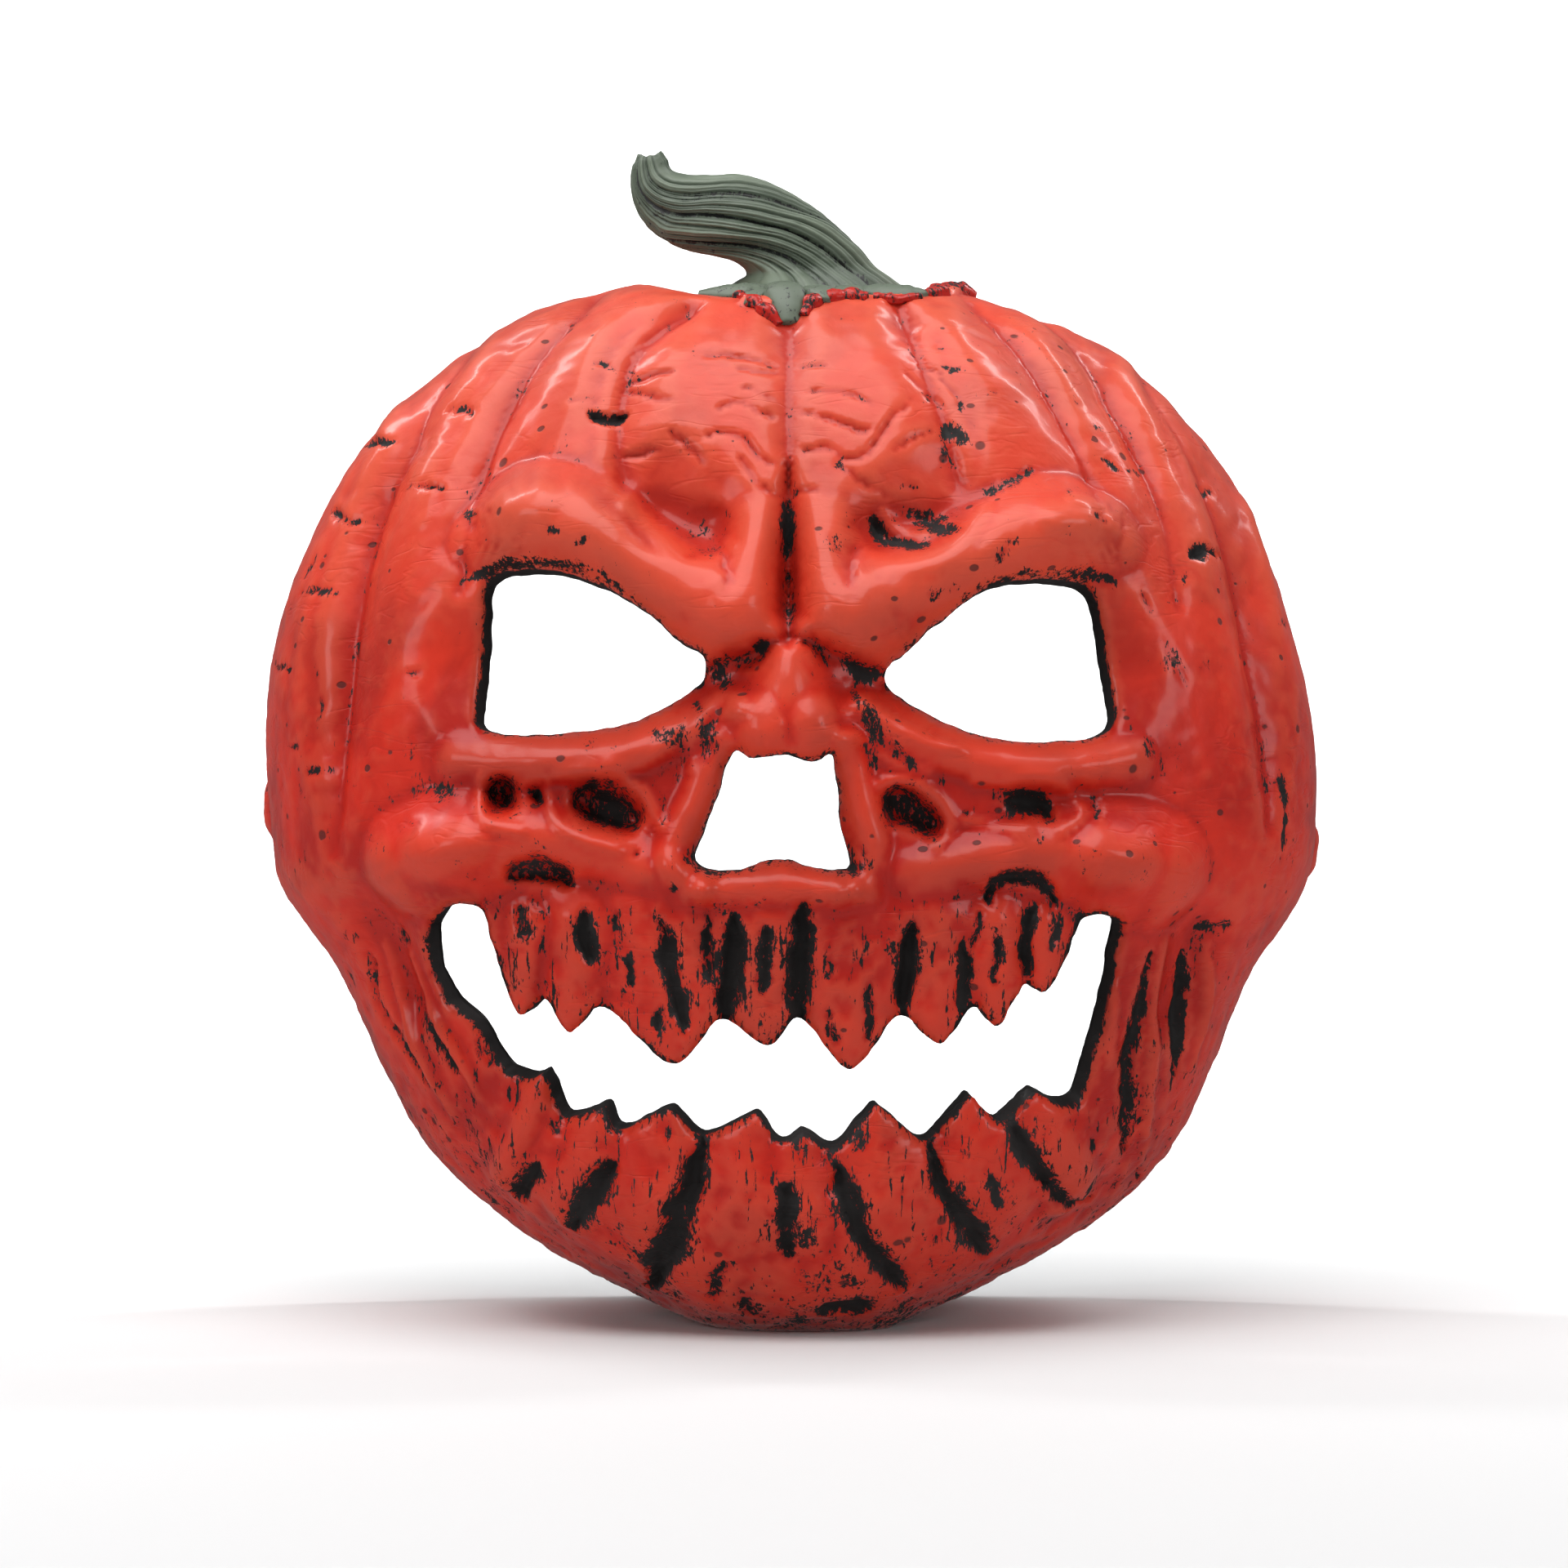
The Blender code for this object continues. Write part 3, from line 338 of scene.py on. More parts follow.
MARKS = strokes(
    Form.CREASE,
    # slits and nicks of the lobes
    (-0.07, 0.6, ((-240, 1156, 5), (-212, 1146, 5))),
    (-0.05, 0.2, ((-278, 1104, 5), (-246, 1112, 5), (-238, 1098, 4))),
    (-0.06, 0.6, ((-474, 1008, 4), (-448, 1004, 5))),
    (-0.07, 0.9, ((-592, 896, 6), (-580, 917, 5))),
    (-0.08, 0.9, ((-599, 877, 4), (-578, 876, 6), (-560, 872, 5))),
    (-0.08, 0.9, ((-636, 786, 5), (-612, 780, 6))),
    (-0.05, 0.6, ((-470, 777, 6), (-450, 775, 6))),
    (-0.08, 0.8, ((-618, 686, 4), (-595, 683, 5))),
    (-0.09, 0.9, ((-592, 658, 6), (-562, 659, 6))),
    (-0.06, 0.7, ((-602, 638, 6), (-592, 624, 5))),
    (-0.06, 0.6, ((-552, 638, 5), (-530, 639, 6))),
    (-0.08, 0.9, ((365, 1080, 6), (388, 1078, 5))),
    (-0.06, 0.6, ((349, 1124, 7), (356, 1100, 6))),
    (-0.06, 0.8, ((384, 1040, 8), (402, 1024, 8))),
    (-0.07, 0.9, ((416, 1026, 4), (441, 1023, 5))),
    (-0.08, 0.8, ((498, 1012, 5), (525, 1004, 6))),
    (-0.06, 0.8, ((426, 875, 5), (441, 847, 5))),
    (-0.06, 0.8, ((482, 902, 6), (484, 884, 6))),
    (-0.07, 0.9, ((588, 832, 4), (610, 841, 5))),
    (-0.05, 0.7, ((335, 1002, 3), (337, 978, 4))),
    (-0.07, 0.9, ((360, 967, 5), (380, 951, 6))),
    (-0.04, 0.9, ((176, 1178, 7), (184, 1170, 6))),
    (-0.05, 0.9, ((183, 1152, 5), (198, 1146, 8), (222, 1150, 4))),
    (-0.05, 0.9, ((183, 1124, 7), (190, 1122, 6))),
    (-0.04, 0.9, ((208, 1128, 7), (211, 1118, 6))),
    (-0.06, 0.9, ((200, 1112, 6), (204, 1094, 8))),
    (-0.05, 0.6, ((209, 1112, 4), (252, 1118, 3))),
    (-0.06, 0.9, ((190, 1080, 10), (200, 1066, 12), (214, 1052, 10))),
    (-0.04, 0.5, ((220, 1076, 4), (238, 1066, 5))),
    # brows and the swirl between them
    (-0.06, 0.9, ((-297, 951, 6), (-282, 942, 7))),
    (-0.06, 0.9, ((-262, 952, 5), (-256, 938, 7), (-266, 926, 5))),
    (-0.04, 0.5, ((-312, 966, 3), (-290, 958, 4))),
    (-0.10, 0.35, ((-140, 924, 6), (-108, 918, 8), (-80, 932, 6))),
    (-0.05, 0.7, ((-400, 972, 6), (-385, 970, 6))),
    (-0.03, 0.5, ((-302, 994, 4), (-294, 994, 4))),
    (-0.14, 0.9, ((98, 972, 6), (110, 948, 8), (135, 934, 8), (172, 932, 7))),
    (-0.10, 0.75, ((146, 974, 8), (176, 956, 12), (206, 950, 9))),
    (-0.06, 0.8, ((138, 1004, 4), (158, 1006, 5))),
    (-0.05, 0.6, ((182, 1036, 4), (205, 1031, 4))),
    (-0.10, 0.5, ((228, 988, 6), (262, 1004, 9), (298, 1026, 6))),
    (-0.05, 0.7, ((244, 908, 8), (272, 934, 10))),
    (-0.06, 0.75, ((164, 864, 7), (206, 884, 8))),
    (-0.05, 0.55, ((46, 942, 7), (60, 914, 8))),
    (-0.05, 0.8, ((106, 824, 6), (110, 822, 6))),
    (-0.05, 0.7, ((56, 1046, 5), (64, 1020, 6))),
    # black under the brows and round the inner corners of the eyes
    (-0.02, 1.0, ((-408, 890, 5), (-380, 898, 9), (-345, 907, 8), (-290, 910, 7), (-228, 892, 5), (-168, 853, 4))),
    (-0.02, 0.9, ((200, 862, 3), (240, 882, 5), (296, 897, 6), (340, 898, 7), (388, 893, 10), (400, 874, 8))),
    (-0.05, 0.9, ((-52, 808, 4), (-40, 806, 7), (-28, 816, 5))),
    (-0.05, 0.75, ((-104, 786, 7), (-88, 770, 10), (-82, 752, 6))),
    (-0.05, 0.9, ((112, 770, 8), (90, 778, 10), (62, 792, 6))),
    (-0.05, 0.6, ((28, 806, 5), (42, 798, 6))),
    (-0.06, 0.85, ((-3, 986, 5), (-5, 960, 8), (-2, 925, 8), (-3, 905, 5))),
    (-0.06, 0.42, ((-3, 905, 6), (-3, 860, 7), (-3, 830, 6))),
    (-0.05, 0.6, ((76, 756, 9), (110, 700, 12), (160, 655, 8))),
    (-0.04, 0.5, ((90, 690, 10), (100, 660, 12))),
    (-0.05, 0.7, ((-168, 702, 10), (-128, 694, 13))),
    (-0.05, 0.6, ((-120, 740, 8), (-100, 700, 10), (-104, 660, 7))),
    (-0.03, 0.5, ((-255, 690, 9), (-240, 688, 8))),
    (-0.05, 0.8, ((78, 528, 9), (92, 546, 11), (88, 560, 7))),
    (-0.04, 0.7, ((-130, 545, 9), (-118, 560, 8))),
    (-0.05, 0.8, ((-46, 504, 8), (-40, 496, 8))),
    (-0.05, 0.7, ((-150, 520, 6), (-140, 506, 7))),
    (-0.03, 0.6, ((452, 820, 10), (470, 790, 14), (486, 760, 8))),
    (-0.03, 0.5, ((-470, 700, 6), (-462, 670, 7))),
    (-0.03, 0.5, ((-440, 640, 10), (-420, 630, 9))),
    (-0.04, 0.7, ((438, 700, 6), (440, 668, 8))),
    (-0.03, 0.5, ((500, 782, 10), (520, 790, 8))),
    (-0.04, 0.7, ((606, 660, 5), (604, 600, 6), (600, 545, 5))),
    (-0.04, 0.6, ((-590, 790, 4), (-580, 740, 5), (-584, 700, 4))),
    (-0.04, 0.6, ((512, 460, 14), (540, 470, 10))),
    # wrinkles of the forehead
    (-0.10, 0.15, ((-204, 1126, 6), (-163, 1140, 8), (-136, 1144, 5))),
    (-0.10, 0.12, ((-213, 1122, 6), (-171, 1112, 8), (-136, 1110, 5))),
    (-0.12, 0.15, ((-211, 1040, 6), (-180, 1044, 8), (-150, 1056, 5))),
    (-0.12, 0.12, ((-146, 1070, 6), (-125, 1048, 8), (-104, 1030, 6))),
    (-0.09, 0.15, ((-112, 1157, 4), (-70, 1161, 6), (-12, 1150, 5))),
    (-0.09, 0.12, ((-72, 1148, 4), (-12, 1139, 6))),
    (-0.10, 0.15, ((-62, 1123, 5), (-18, 1110, 6))),
    (-0.10, 0.15, ((-86, 1093, 5), (-58, 1103, 7), (-18, 1080, 6))),
    (-0.12, 0.12, ((-110, 1060, 6), (-66, 1065, 8), (-41, 1039, 7), (-10, 1026, 5))),
    (-0.12, 0.15, ((-62, 1036, 5), (-37, 1005, 7), (-10, 984, 5))),
    (-0.09, 0.15, ((5, 1147, 5), (50, 1150, 5))),
    (-0.10, 0.2, ((5, 1122, 5), (70, 1114, 7), (96, 1103, 5))),
    (-0.12, 0.2, ((5, 1092, 5), (48, 1083, 7), (79, 1069, 7), (108, 1075, 5))),
    (-0.12, 0.15, ((3, 1034, 5), (40, 1048, 7), (74, 1038, 7), (105, 1058, 7), (131, 1092, 7), (150, 1114, 5))),
    (-0.10, 0.15, ((60, 1028, 5), (96, 1000, 7), (124, 990, 5))),
    (-0.12, 0.3, ((0, 990, 5), (18, 998, 6), (42, 994, 5))),
    (-0.09, 0.12, ((148, 1161, 5), (178, 1143, 6), (200, 1112, 4))),
    (-0.09, 0.12, ((132, 1150, 5), (160, 1128, 6), (184, 1096, 4))),
    (-0.09, 0.12, ((120, 1040, 5), (146, 1062, 6), (180, 1078, 4))),
)
# Nubs moulded on the side walls near the rim: height, x, z, half width
SIDE_NUBS: Path3 = ((0.12, -640, 610, 26), (0.12, 642, 556, 26))

# The stem's two sides from its base to its tip, as shares of its base's width and of its rise:
# left x, left z, right x, right z
STEM_SIDES: Path3 = (
    (-0.542, 0.000, 0.542, 0.000), (-0.423, 0.088, 0.432, 0.097), (-0.372, 0.130, 0.330, 0.185),
    (-0.402, 0.180, 0.245, 0.311), (-0.483, 0.214, 0.114, 0.462), (-0.576, 0.238, -0.025, 0.559),
    (-0.660, 0.263, -0.174, 0.652), (-0.732, 0.297, -0.347, 0.715), (-0.808, 0.350, -0.525, 0.722),
    (-0.885, 0.462, -0.652, 0.730), (-0.935, 0.593, -0.720, 0.762), (-0.935, 0.749, -0.745, 0.810),
    (-0.906, 0.827, -0.770, 0.848),
)
# Roots that run from the stem over the crown: x, z, half width along each
STEM_ROOTS: tuple[Path3, ...] = (
    ((-24, 1240, 20), (-56, 1235, 20), (-86, 1236, 15), (-112, 1238, 6)),
    ((-34, 1238, 16), (-44, 1228, 15), (-50, 1218, 7)),
    ((-10, 1238, 28), (-7, 1224, 26), (-4, 1212, 21), (-2, 1204, 12)),
    ((26, 1238, 20), (34, 1228, 20), (38, 1218, 10)),
    ((64, 1240, 20), (74, 1232, 18), (84, 1227, 8)),
    ((92, 1242, 20), (118, 1236, 18), (146, 1235, 14), (172, 1237, 6)),
)
# Crumbs of the crown's skin that stand up round the foot of the stem, in the same columns
COLLAR: tuple[Path3, ...] = (
    ((-66, 1232, 6), (-54, 1226, 9), (-38, 1216, 10), (-24, 1209, 9), (-14, 1203, 6)),
    ((16, 1208, 6), (24, 1216, 10), (36, 1222, 8), (48, 1224, 12), (62, 1226, 8), (76, 1227, 11), (92, 1225, 6)),
    ((100, 1228, 6), (120, 1228, 9), (142, 1229, 7), (158, 1231, 5)),
    ((166, 1234, 8), (184, 1238, 13), (206, 1238, 15), (226, 1234, 8)),
)


def smoothstep(low: float, high: float, value: np.ndarray) -> np.ndarray:
    """Eases from 0 at low to 1 at high."""
    t = np.clip((value - low) / (high - low), 0.0, 1.0)
    return t * t * (3.0 - 2.0 * t)


def curve_through(points: Path3 | np.ndarray, spacing: float, closed: bool = False) -> np.ndarray:
    """Draws a Catmull-Rom curve through points.

    Args:
        points: the places that the curve passes.
        spacing: about how far apart its own points lie.
        closed: whether the last point joins the first.

    Returns:
        The points along the curve, one row each, with every given one kept.
    """
    knots = np.asarray(points, float)
    count = len(knots)
    found = []
    for i in range(count if closed else count - 1):
        if closed:
            a, b, c, d = (knots[(i + k) % count] for k in (-1, 0, 1, 2))
        else:
            a, b, c, d = (knots[min(max(i + k, 0), count - 1)] for k in (-1, 0, 1, 2))
        pieces = max(1, round(float(np.linalg.norm((c - b)[:2])) / spacing))
        t = (np.arange(pieces) / pieces)[:, None]
        found.append(0.5 * (2 * b + (c - a) * t + (2 * a - 5 * b + 4 * c - d) * t**2
                            + (3 * b - a - 3 * c + d) * t**3))
    if not closed:
        found.append(knots[-1:])
    return np.vstack(found)


def roughness_of(points: np.ndarray, scale: float, octaves: int, seed: float) -> np.ndarray:
    """Samples fractal noise at points.

    Args:
        points: the places, one row each.
        scale: size of the largest waves, in metres.
        octaves: how many finer layers are added.
        seed: moves the pattern.

    Returns:
        Values around 0, mostly between -1 and 1.
    """
    offset = Vector((seed, seed * 1.7, seed * 0.6))
    return np.array([noise.fractal(Vector(p) / scale + offset, 1.0, 2.1, octaves) for p in points])


def mesh_piece(name: str, points: np.ndarray, faces: list[tuple[int, ...]] | np.ndarray) -> bpy.types.Object:
    """Makes a smooth closed mesh object.

    Args:
        name: the piece's name.
        points: its vertices, one row each.
        faces: the vertices of each face.

    Returns:
        The object, linked to the scene.
    """
    mesh = bpy.data.meshes.new(name)
    mesh.from_pydata([tuple(map(float, p)) for p in points], [], [tuple(map(int, f)) for f in faces])
    shaped = bmesh.new()
    shaped.from_mesh(mesh)
    bmesh.ops.recalc_face_normals(shaped, faces=shaped.faces)
    shaped.to_mesh(mesh)
    shaped.free()
    mesh.shade_smooth()
    piece = bpy.data.objects.new(name, mesh)
    bpy.context.scene.collection.objects.link(piece)
    return piece


def give_mask(piece: bpy.types.Object, name: str, values: np.ndarray) -> None:
    """Stores a value from 0 to 1 at each vertex of the piece, for its paint to read."""
    mask = piece.data.attributes.new(name, "FLOAT", "POINT")
    mask.data.foreach_set("value", np.clip(values, 0.0, 1.0).astype(np.float32))


def hollowness(points: np.ndarray, faces: np.ndarray, rounds: int) -> np.ndarray:
    """Measures how far each vertex lies below its surroundings.

    Args:
        points: the vertices.
        faces: triangles, turned outwards.
        rounds: how often the surroundings are averaged; more rounds look further.

    Returns:
        The depth below the smoothed surface in metres, positive in a hollow.
    """
    edges = np.vstack([faces[:, [0, 1]], faces[:, [1, 2]], faces[:, [2, 0]]])
    edges = np.vstack([edges, edges[:, ::-1]])
    count = np.maximum(np.bincount(edges[:, 0], minlength=len(points)), 1)[:, None]
    smooth = points.copy()
    for _ in range(rounds):
        total = np.column_stack([
            np.bincount(edges[:, 0], weights=smooth[edges[:, 1], k], minlength=len(points)) for k in range(3)
        ])
        smooth = 0.4 * smooth + 0.6 * total / count
    corners = points[faces]
    face_normals = np.cross(corners[:, 1] - corners[:, 0], corners[:, 2] - corners[:, 0])
    normals = np.zeros_like(points)
    for k in range(3):
        for axis in range(3):
            normals[:, axis] += np.bincount(faces[:, k], weights=face_normals[:, axis], minlength=len(points))
    normals /= np.maximum(np.linalg.norm(normals, axis=1, keepdims=True), CLOSE**3)
    return np.einsum("ij,ij->i", smooth - points, normals)


@dataclass
class Layout:
    """The grid that the face is laid out on, and the plain dome under it."""

    shell_width: float = 0.250
    shell_height: float = 0.243
    shell_depth: float = 0.106
    sight_distance: float = 1.10
    width_steps: int = 1284
    height_steps: int = 1249
    middle_step: int = 640
    arc_share: float = 1.03 * math.pi / 2
    rim_line: np.ndarray = field(init=False)

    def __post_init__(self) -> None:
        """Works out the outline that the dome's directions read."""
        self.rim_line = self.in_metres(curve_through(OUTLINE, 8.0, closed=True))

    @property
    def rim_y(self) -> float:
        """Where the open back lies."""
        return self.shell_depth / 2

    @property
    def middle_z(self) -> float:
        """Height of the layout's middle."""
        return self.middle_step * self.shell_height / self.height_steps

    @property
    def step(self) -> float:
        """One layout step across, in metres."""
        return self.shell_width / self.width_steps

    def in_metres(self, steps: np.ndarray) -> np.ndarray:
        """Places as x and z in metres from the layout's middle."""
        return np.column_stack([
            steps[:, 0] * self.step,
            (steps[:, 1] - self.middle_step) * self.shell_height / self.height_steps,
        ])

    def section(self, angle: np.ndarray) -> tuple[np.ndarray, ...]:
        """Reads the dome's section in each direction.

        Args:
            angle: directions round the middle.

        Returns:
            Radius of the outline, straight run at the rim, fullness, and arc length.
        """
        angles = np.arctan2(self.rim_line[:, 1], self.rim_line[:, 0])
        radius = np.interp(angle, angles, np.hypot(*self.rim_line.T), period=2 * math.pi)
        table = np.array(PROFILES)
        place = np.mod(angle, 2 * math.pi) / (2 * math.pi) * len(table)
        low = np.floor(place).astype(int) % len(table)
        blend = smoothstep(0.0, 1.0, place - np.floor(place))[:, None]
        run, fullness = (table[low] * (1 - blend) + table[(low + 1) % len(table)] * blend).T
        run = run * self.shell_depth
        return radius, run, fullness, self.arc_share * (radius + self.shell_depth - run) / 2

    def dome(self, flat: np.ndarray) -> tuple[np.ndarray, np.ndarray]:
        """Folds the flat pattern into the plain dome.

        Args:
            flat: points of the pattern.

        Returns:
            The points on the dome, and their share of the way out to the rim.
        """
        angle = np.arctan2(flat[:, 1], flat[:, 0])
        reach = np.hypot(flat[:, 0], flat[:, 1])
        radius, run, fullness, arc = self.section(angle)
        turn = np.minimum(reach / arc, 1.0) * math.pi / 2
        sine, cosine = np.sin(turn), np.maximum(np.cos(turn), 0.0)
        size = (sine**fullness + cosine**fullness) ** (-1 / fullness)
        share = size * sine
        x, z = radius * share * np.cos(angle), radius * share * np.sin(angle)
        y = -run - (self.shell_depth - run) * size * cosine + np.maximum(reach - arc, 0.0)
        return np.column_stack([x, y + self.rim_y, z + self.middle_z]), share

    def pattern_of(self, flat_xz: np.ndarray, seen: bool = False) -> np.ndarray:
        """Finds places from the front on the flat pattern.

        Args:
            flat_xz: x and z from the middle, in metres.
            seen: whether they are places as seen from the sight distance, and not true ones.

        Returns:
            The same places on the pattern.
        """
        angle = np.arctan2(flat_xz[:, 1], flat_xz[:, 0])
        radius, run, fullness, arc = self.section(angle)
        share = np.minimum(np.hypot(flat_xz[:, 0], flat_xz[:, 1]) / radius, 1 - CLOSE)
        rise = (1 - share**fullness) ** (1 / fullness)
        if seen:
            share = share * (1 - rise * (self.shell_depth - run) / self.sight_distance)
            rise = (1 - share**fullness) ** (1 / fullness)
        reach = np.arctan2(share, rise) / (math.pi / 2) * arc
        return np.column_stack([reach * np.cos(angle), reach * np.sin(angle)])

    def outward(self, flat: np.ndarray) -> np.ndarray:
        """The dome's outward normal at points of the pattern."""
        nudge = 0.0004
        across = self.dome(flat + (nudge, 0))[0] - self.dome(flat - (nudge, 0))[0]
        along = self.dome(flat + (0, nudge))[0] - self.dome(flat - (0, nudge))[0]
        normal = np.cross(across, along)
        return normal / np.linalg.norm(normal, axis=1, keepdims=True)

    def lift_way(self, flat: np.ndarray, share: np.ndarray) -> np.ndarray:
        """The way that relief is measured: straight ahead on the face, square to the sides."""
        blend = smoothstep(0.62, 1.0, share)[:, None]
        way = self.outward(flat) * blend + np.array([0.0, -1.0, 0.0]) * (1 - blend)
        return way / np.linalg.norm(way, axis=1, keepdims=True)


@dataclass
class Sculptor:
    """Lays the strokes on the dome and keeps the height and the black paint that they give."""

    layout: Layout
    relief: float = 0.014
    wander: float = 0.0011
    wander_scale: float = 0.0065
    taper: float = 0.22

    def cross_section(self, form: Form, q: np.ndarray) -> np.ndarray:
        """Height across a form, from 1 on its path to 0 at its half width."""
        q = np.clip(q, 0.0, 1.0)
        if form is Form.ROLL:
            return (1 - q**2) ** 1.4
        if form is Form.CREASE:
            return (1 - q) ** 1.5
        if form is Form.GROOVE:
            return 1 - smoothstep(0.30, 1.0, q)
        return (1 - q**2) ** 2

    def lay(self, points: np.ndarray, rows: tuple[Stroke, ...]) -> tuple[np.ndarray, np.ndarray]:
        """Adds up strokes at points of the dome.

        Args:
            points: places on the plain dome.
            rows: the strokes.

        Returns:
            The height in metres and the black paint from 0 to 1 at each point.
        """
        height = np.zeros(len(points))
        black_and_shade = np.zeros(len(points))
        drift = np.column_stack([roughness_of(points, self.wander_scale, 3, seed) for seed in (13.0, 17.0, 23.0)])
        strayed = points + self.wander * drift
        for row in rows:
            line = curve_through([(*place, 1.0)[:4] for place in row.path], 10.0)
            if row.form in (Form.GROOVE, Form.CREASE):
                along = np.linspace(0, 1, len(line))
                ends = np.minimum(along, 1 - along) / self.taper
                line[:, 2] *= 0.4 + 0.6 * np.clip(ends, 0.0, 1.0)
            spine = self.layout.dome(self.layout.pattern_of(self.layout.in_metres(line[:, :2]), seen=True))[0]
            widths = line[:, 2] * self.layout.step
            reach = widths.max() * 1.7
            near = np.flatnonzero(((points > spine.min(0) - reach) & (points < spine.max(0) + reach)).all(axis=1))
            if not len(near):
                continue
            traced = strayed if row.form in (Form.GROOVE, Form.CREASE) and row.black_and_shade else points
            q, swell = self.nearness(traced[near], spine, widths, line[:, 3])
            height[near] += row.height * self.relief * swell * self.cross_section(row.form, q)
            if row.black_and_shade:
                black_and_shade[near] = np.maximum(black_and_shade[near], row.black_and_shade * (1 - smoothstep(0.35, 1.75, q)))
        return height, black_and_shade

    @staticmethod
    def nearness(points: np.ndarray, spine: np.ndarray, widths: np.ndarray,
                 swells: np.ndarray) -> tuple[np.ndarray, np.ndarray]:
        """Measures points against a spine.

        Args:
            points: the places.
            spine: the points along the spine.
            widths: its half width at each.
            swells: its share of the height at each.

        Returns:
            The distance from the spine as a share of its half width, and its swell there.
        """
        best, swell = np.full(len(points), 9.0), np.ones(len(points))
        for i, (a, b) in enumerate(zip(spine, spine[1:])):
            span = b - a
            t = np.clip((points - a) @ span / max(float(span @ span), CLOSE**2), 0.0, 1.0)
            gap = np.linalg.norm(points - a - t[:, None] * span, axis=1)
            q = gap / (widths[i] + (widths[i + 1] - widths[i]) * t)
            nearer = q < best
            best = np.where(nearer, q, best)
            swell = np.where(nearer, swells[i] + (swells[i + 1] - swells[i]) * t, swell)
        return best, swell


@dataclass(frozen=True)
class Pattern:
    """The flat pattern cut into triangles, with its loops first."""

    points: np.ndarray
    faces: np.ndarray
    loop_sizes: tuple[int, ...]


@dataclass
class Cutter:
    """Cuts the flat pattern, with its holes, into triangles."""

    layout: Layout
    face_reach: float = 0.84

    @staticmethod
    def inside(points: np.ndarray, loop: np.ndarray) -> np.ndarray:
        """Which points lie within a closed loop."""
        found = np.zeros(len(points), bool)
        for (ax, ay), (bx, by) in zip(loop, np.roll(loop, -1, axis=0)):
            if ay != by:
                between = (points[:, 1] > ay) != (points[:, 1] > by)
                found ^= between & (points[:, 0] < (bx - ax) * (points[:, 1] - ay) / (by - ay) + ax)
        return found

    @staticmethod
    def lattice(edge: float, extent: float) -> np.ndarray:
        """Points of a triangular lattice over a square."""
        x, y = np.meshgrid(np.arange(-extent, extent, edge), np.arange(-extent, extent, edge * math.sqrt(3) / 2))
        x[1::2] += edge / 2
        return np.column_stack([x.ravel(), y.ravel()])

    @staticmethod
    def distance_to(points: np.ndarray, others: np.ndarray) -> np.ndarray:
        """How far each point lies from the nearest of the others."""
        tree = kdtree.KDTree(len(others))
        for i, place in enumerate(others):
            tree.insert(Vector((*place, 0.0)) if len(place) == 2 else Vector(place), i)
        tree.balance()
        flat = points.shape[1] == 2
        return np.array([tree.find((*p, 0.0) if flat else tuple(p))[2] for p in points])

    def cut(self, loops: list[np.ndarray], fine: float, coarse: float) -> Pattern:
        """Fills the pattern between its loops.

        Args:
            loops: the rim's loop, then each hole's.
            fine: length of an edge on the face.
            coarse: length of an edge on the sides.

        Returns:
            The pattern, with the points of the loops first.
        """
        extent = float(np.abs(loops[0]).max()) + coarse
        edge_points = np.vstack(loops)
        face, side = self.lattice(fine, extent), self.lattice(coarse, extent)
        face = face[self.layout.dome(face)[1] < self.face_reach]
        side = side[self.layout.dome(side)[1] >= self.face_reach]
        fill = np.vstack([face, side])
        room = np.concatenate([np.full(len(face), fine * 0.6), np.full(len(side), coarse * 0.55)])
        fill = fill[self.distance_to(fill, edge_points) > room]
        kept = self.within(fill, loops)
        points = np.vstack([edge_points, fill[kept]])
        edges, start = [], 0
        for loop in loops:
            edges += [(start + i, start + (i + 1) % len(loop)) for i in range(len(loop))]
            start += len(loop)
        made = delaunay_2d_cdt([tuple(p) for p in points], edges, [], 0, CLOSE / 10)
        places = np.array([tuple(p) for p in made[0]])
        if len(places) != len(points):
            raise ValueError("two points of the pattern fell together")
        faces = np.array(made[2])
        return Pattern(places, faces[self.within(places[faces].mean(axis=1), loops)], tuple(map(len, loops)))

    def within(self, points: np.ndarray, loops: list[np.ndarray]) -> np.ndarray:
        """Which points lie inside the rim and outside every hole."""
        kept = self.inside(points, loops[0])
        for hole in loops[1:]:
            kept &= ~self.inside(points, hole)
        return kept


@dataclass(frozen=True)
class StudioPaper:
    """The pale floor and backdrop."""

    colour: Place = (0.72, 0.722, 0.724)

    def material(self) -> bpy.types.Material:
        """Makes the paper's material."""
        made = bpy.data.materials.new("studio_paper")
        made.use_nodes = True
        shader = made.node_tree.nodes["Principled BSDF"]
        shader.inputs["Base Color"].default_value = (*self.colour, 1.0)
        shader.inputs["Roughness"].default_value = 0.7
        return made


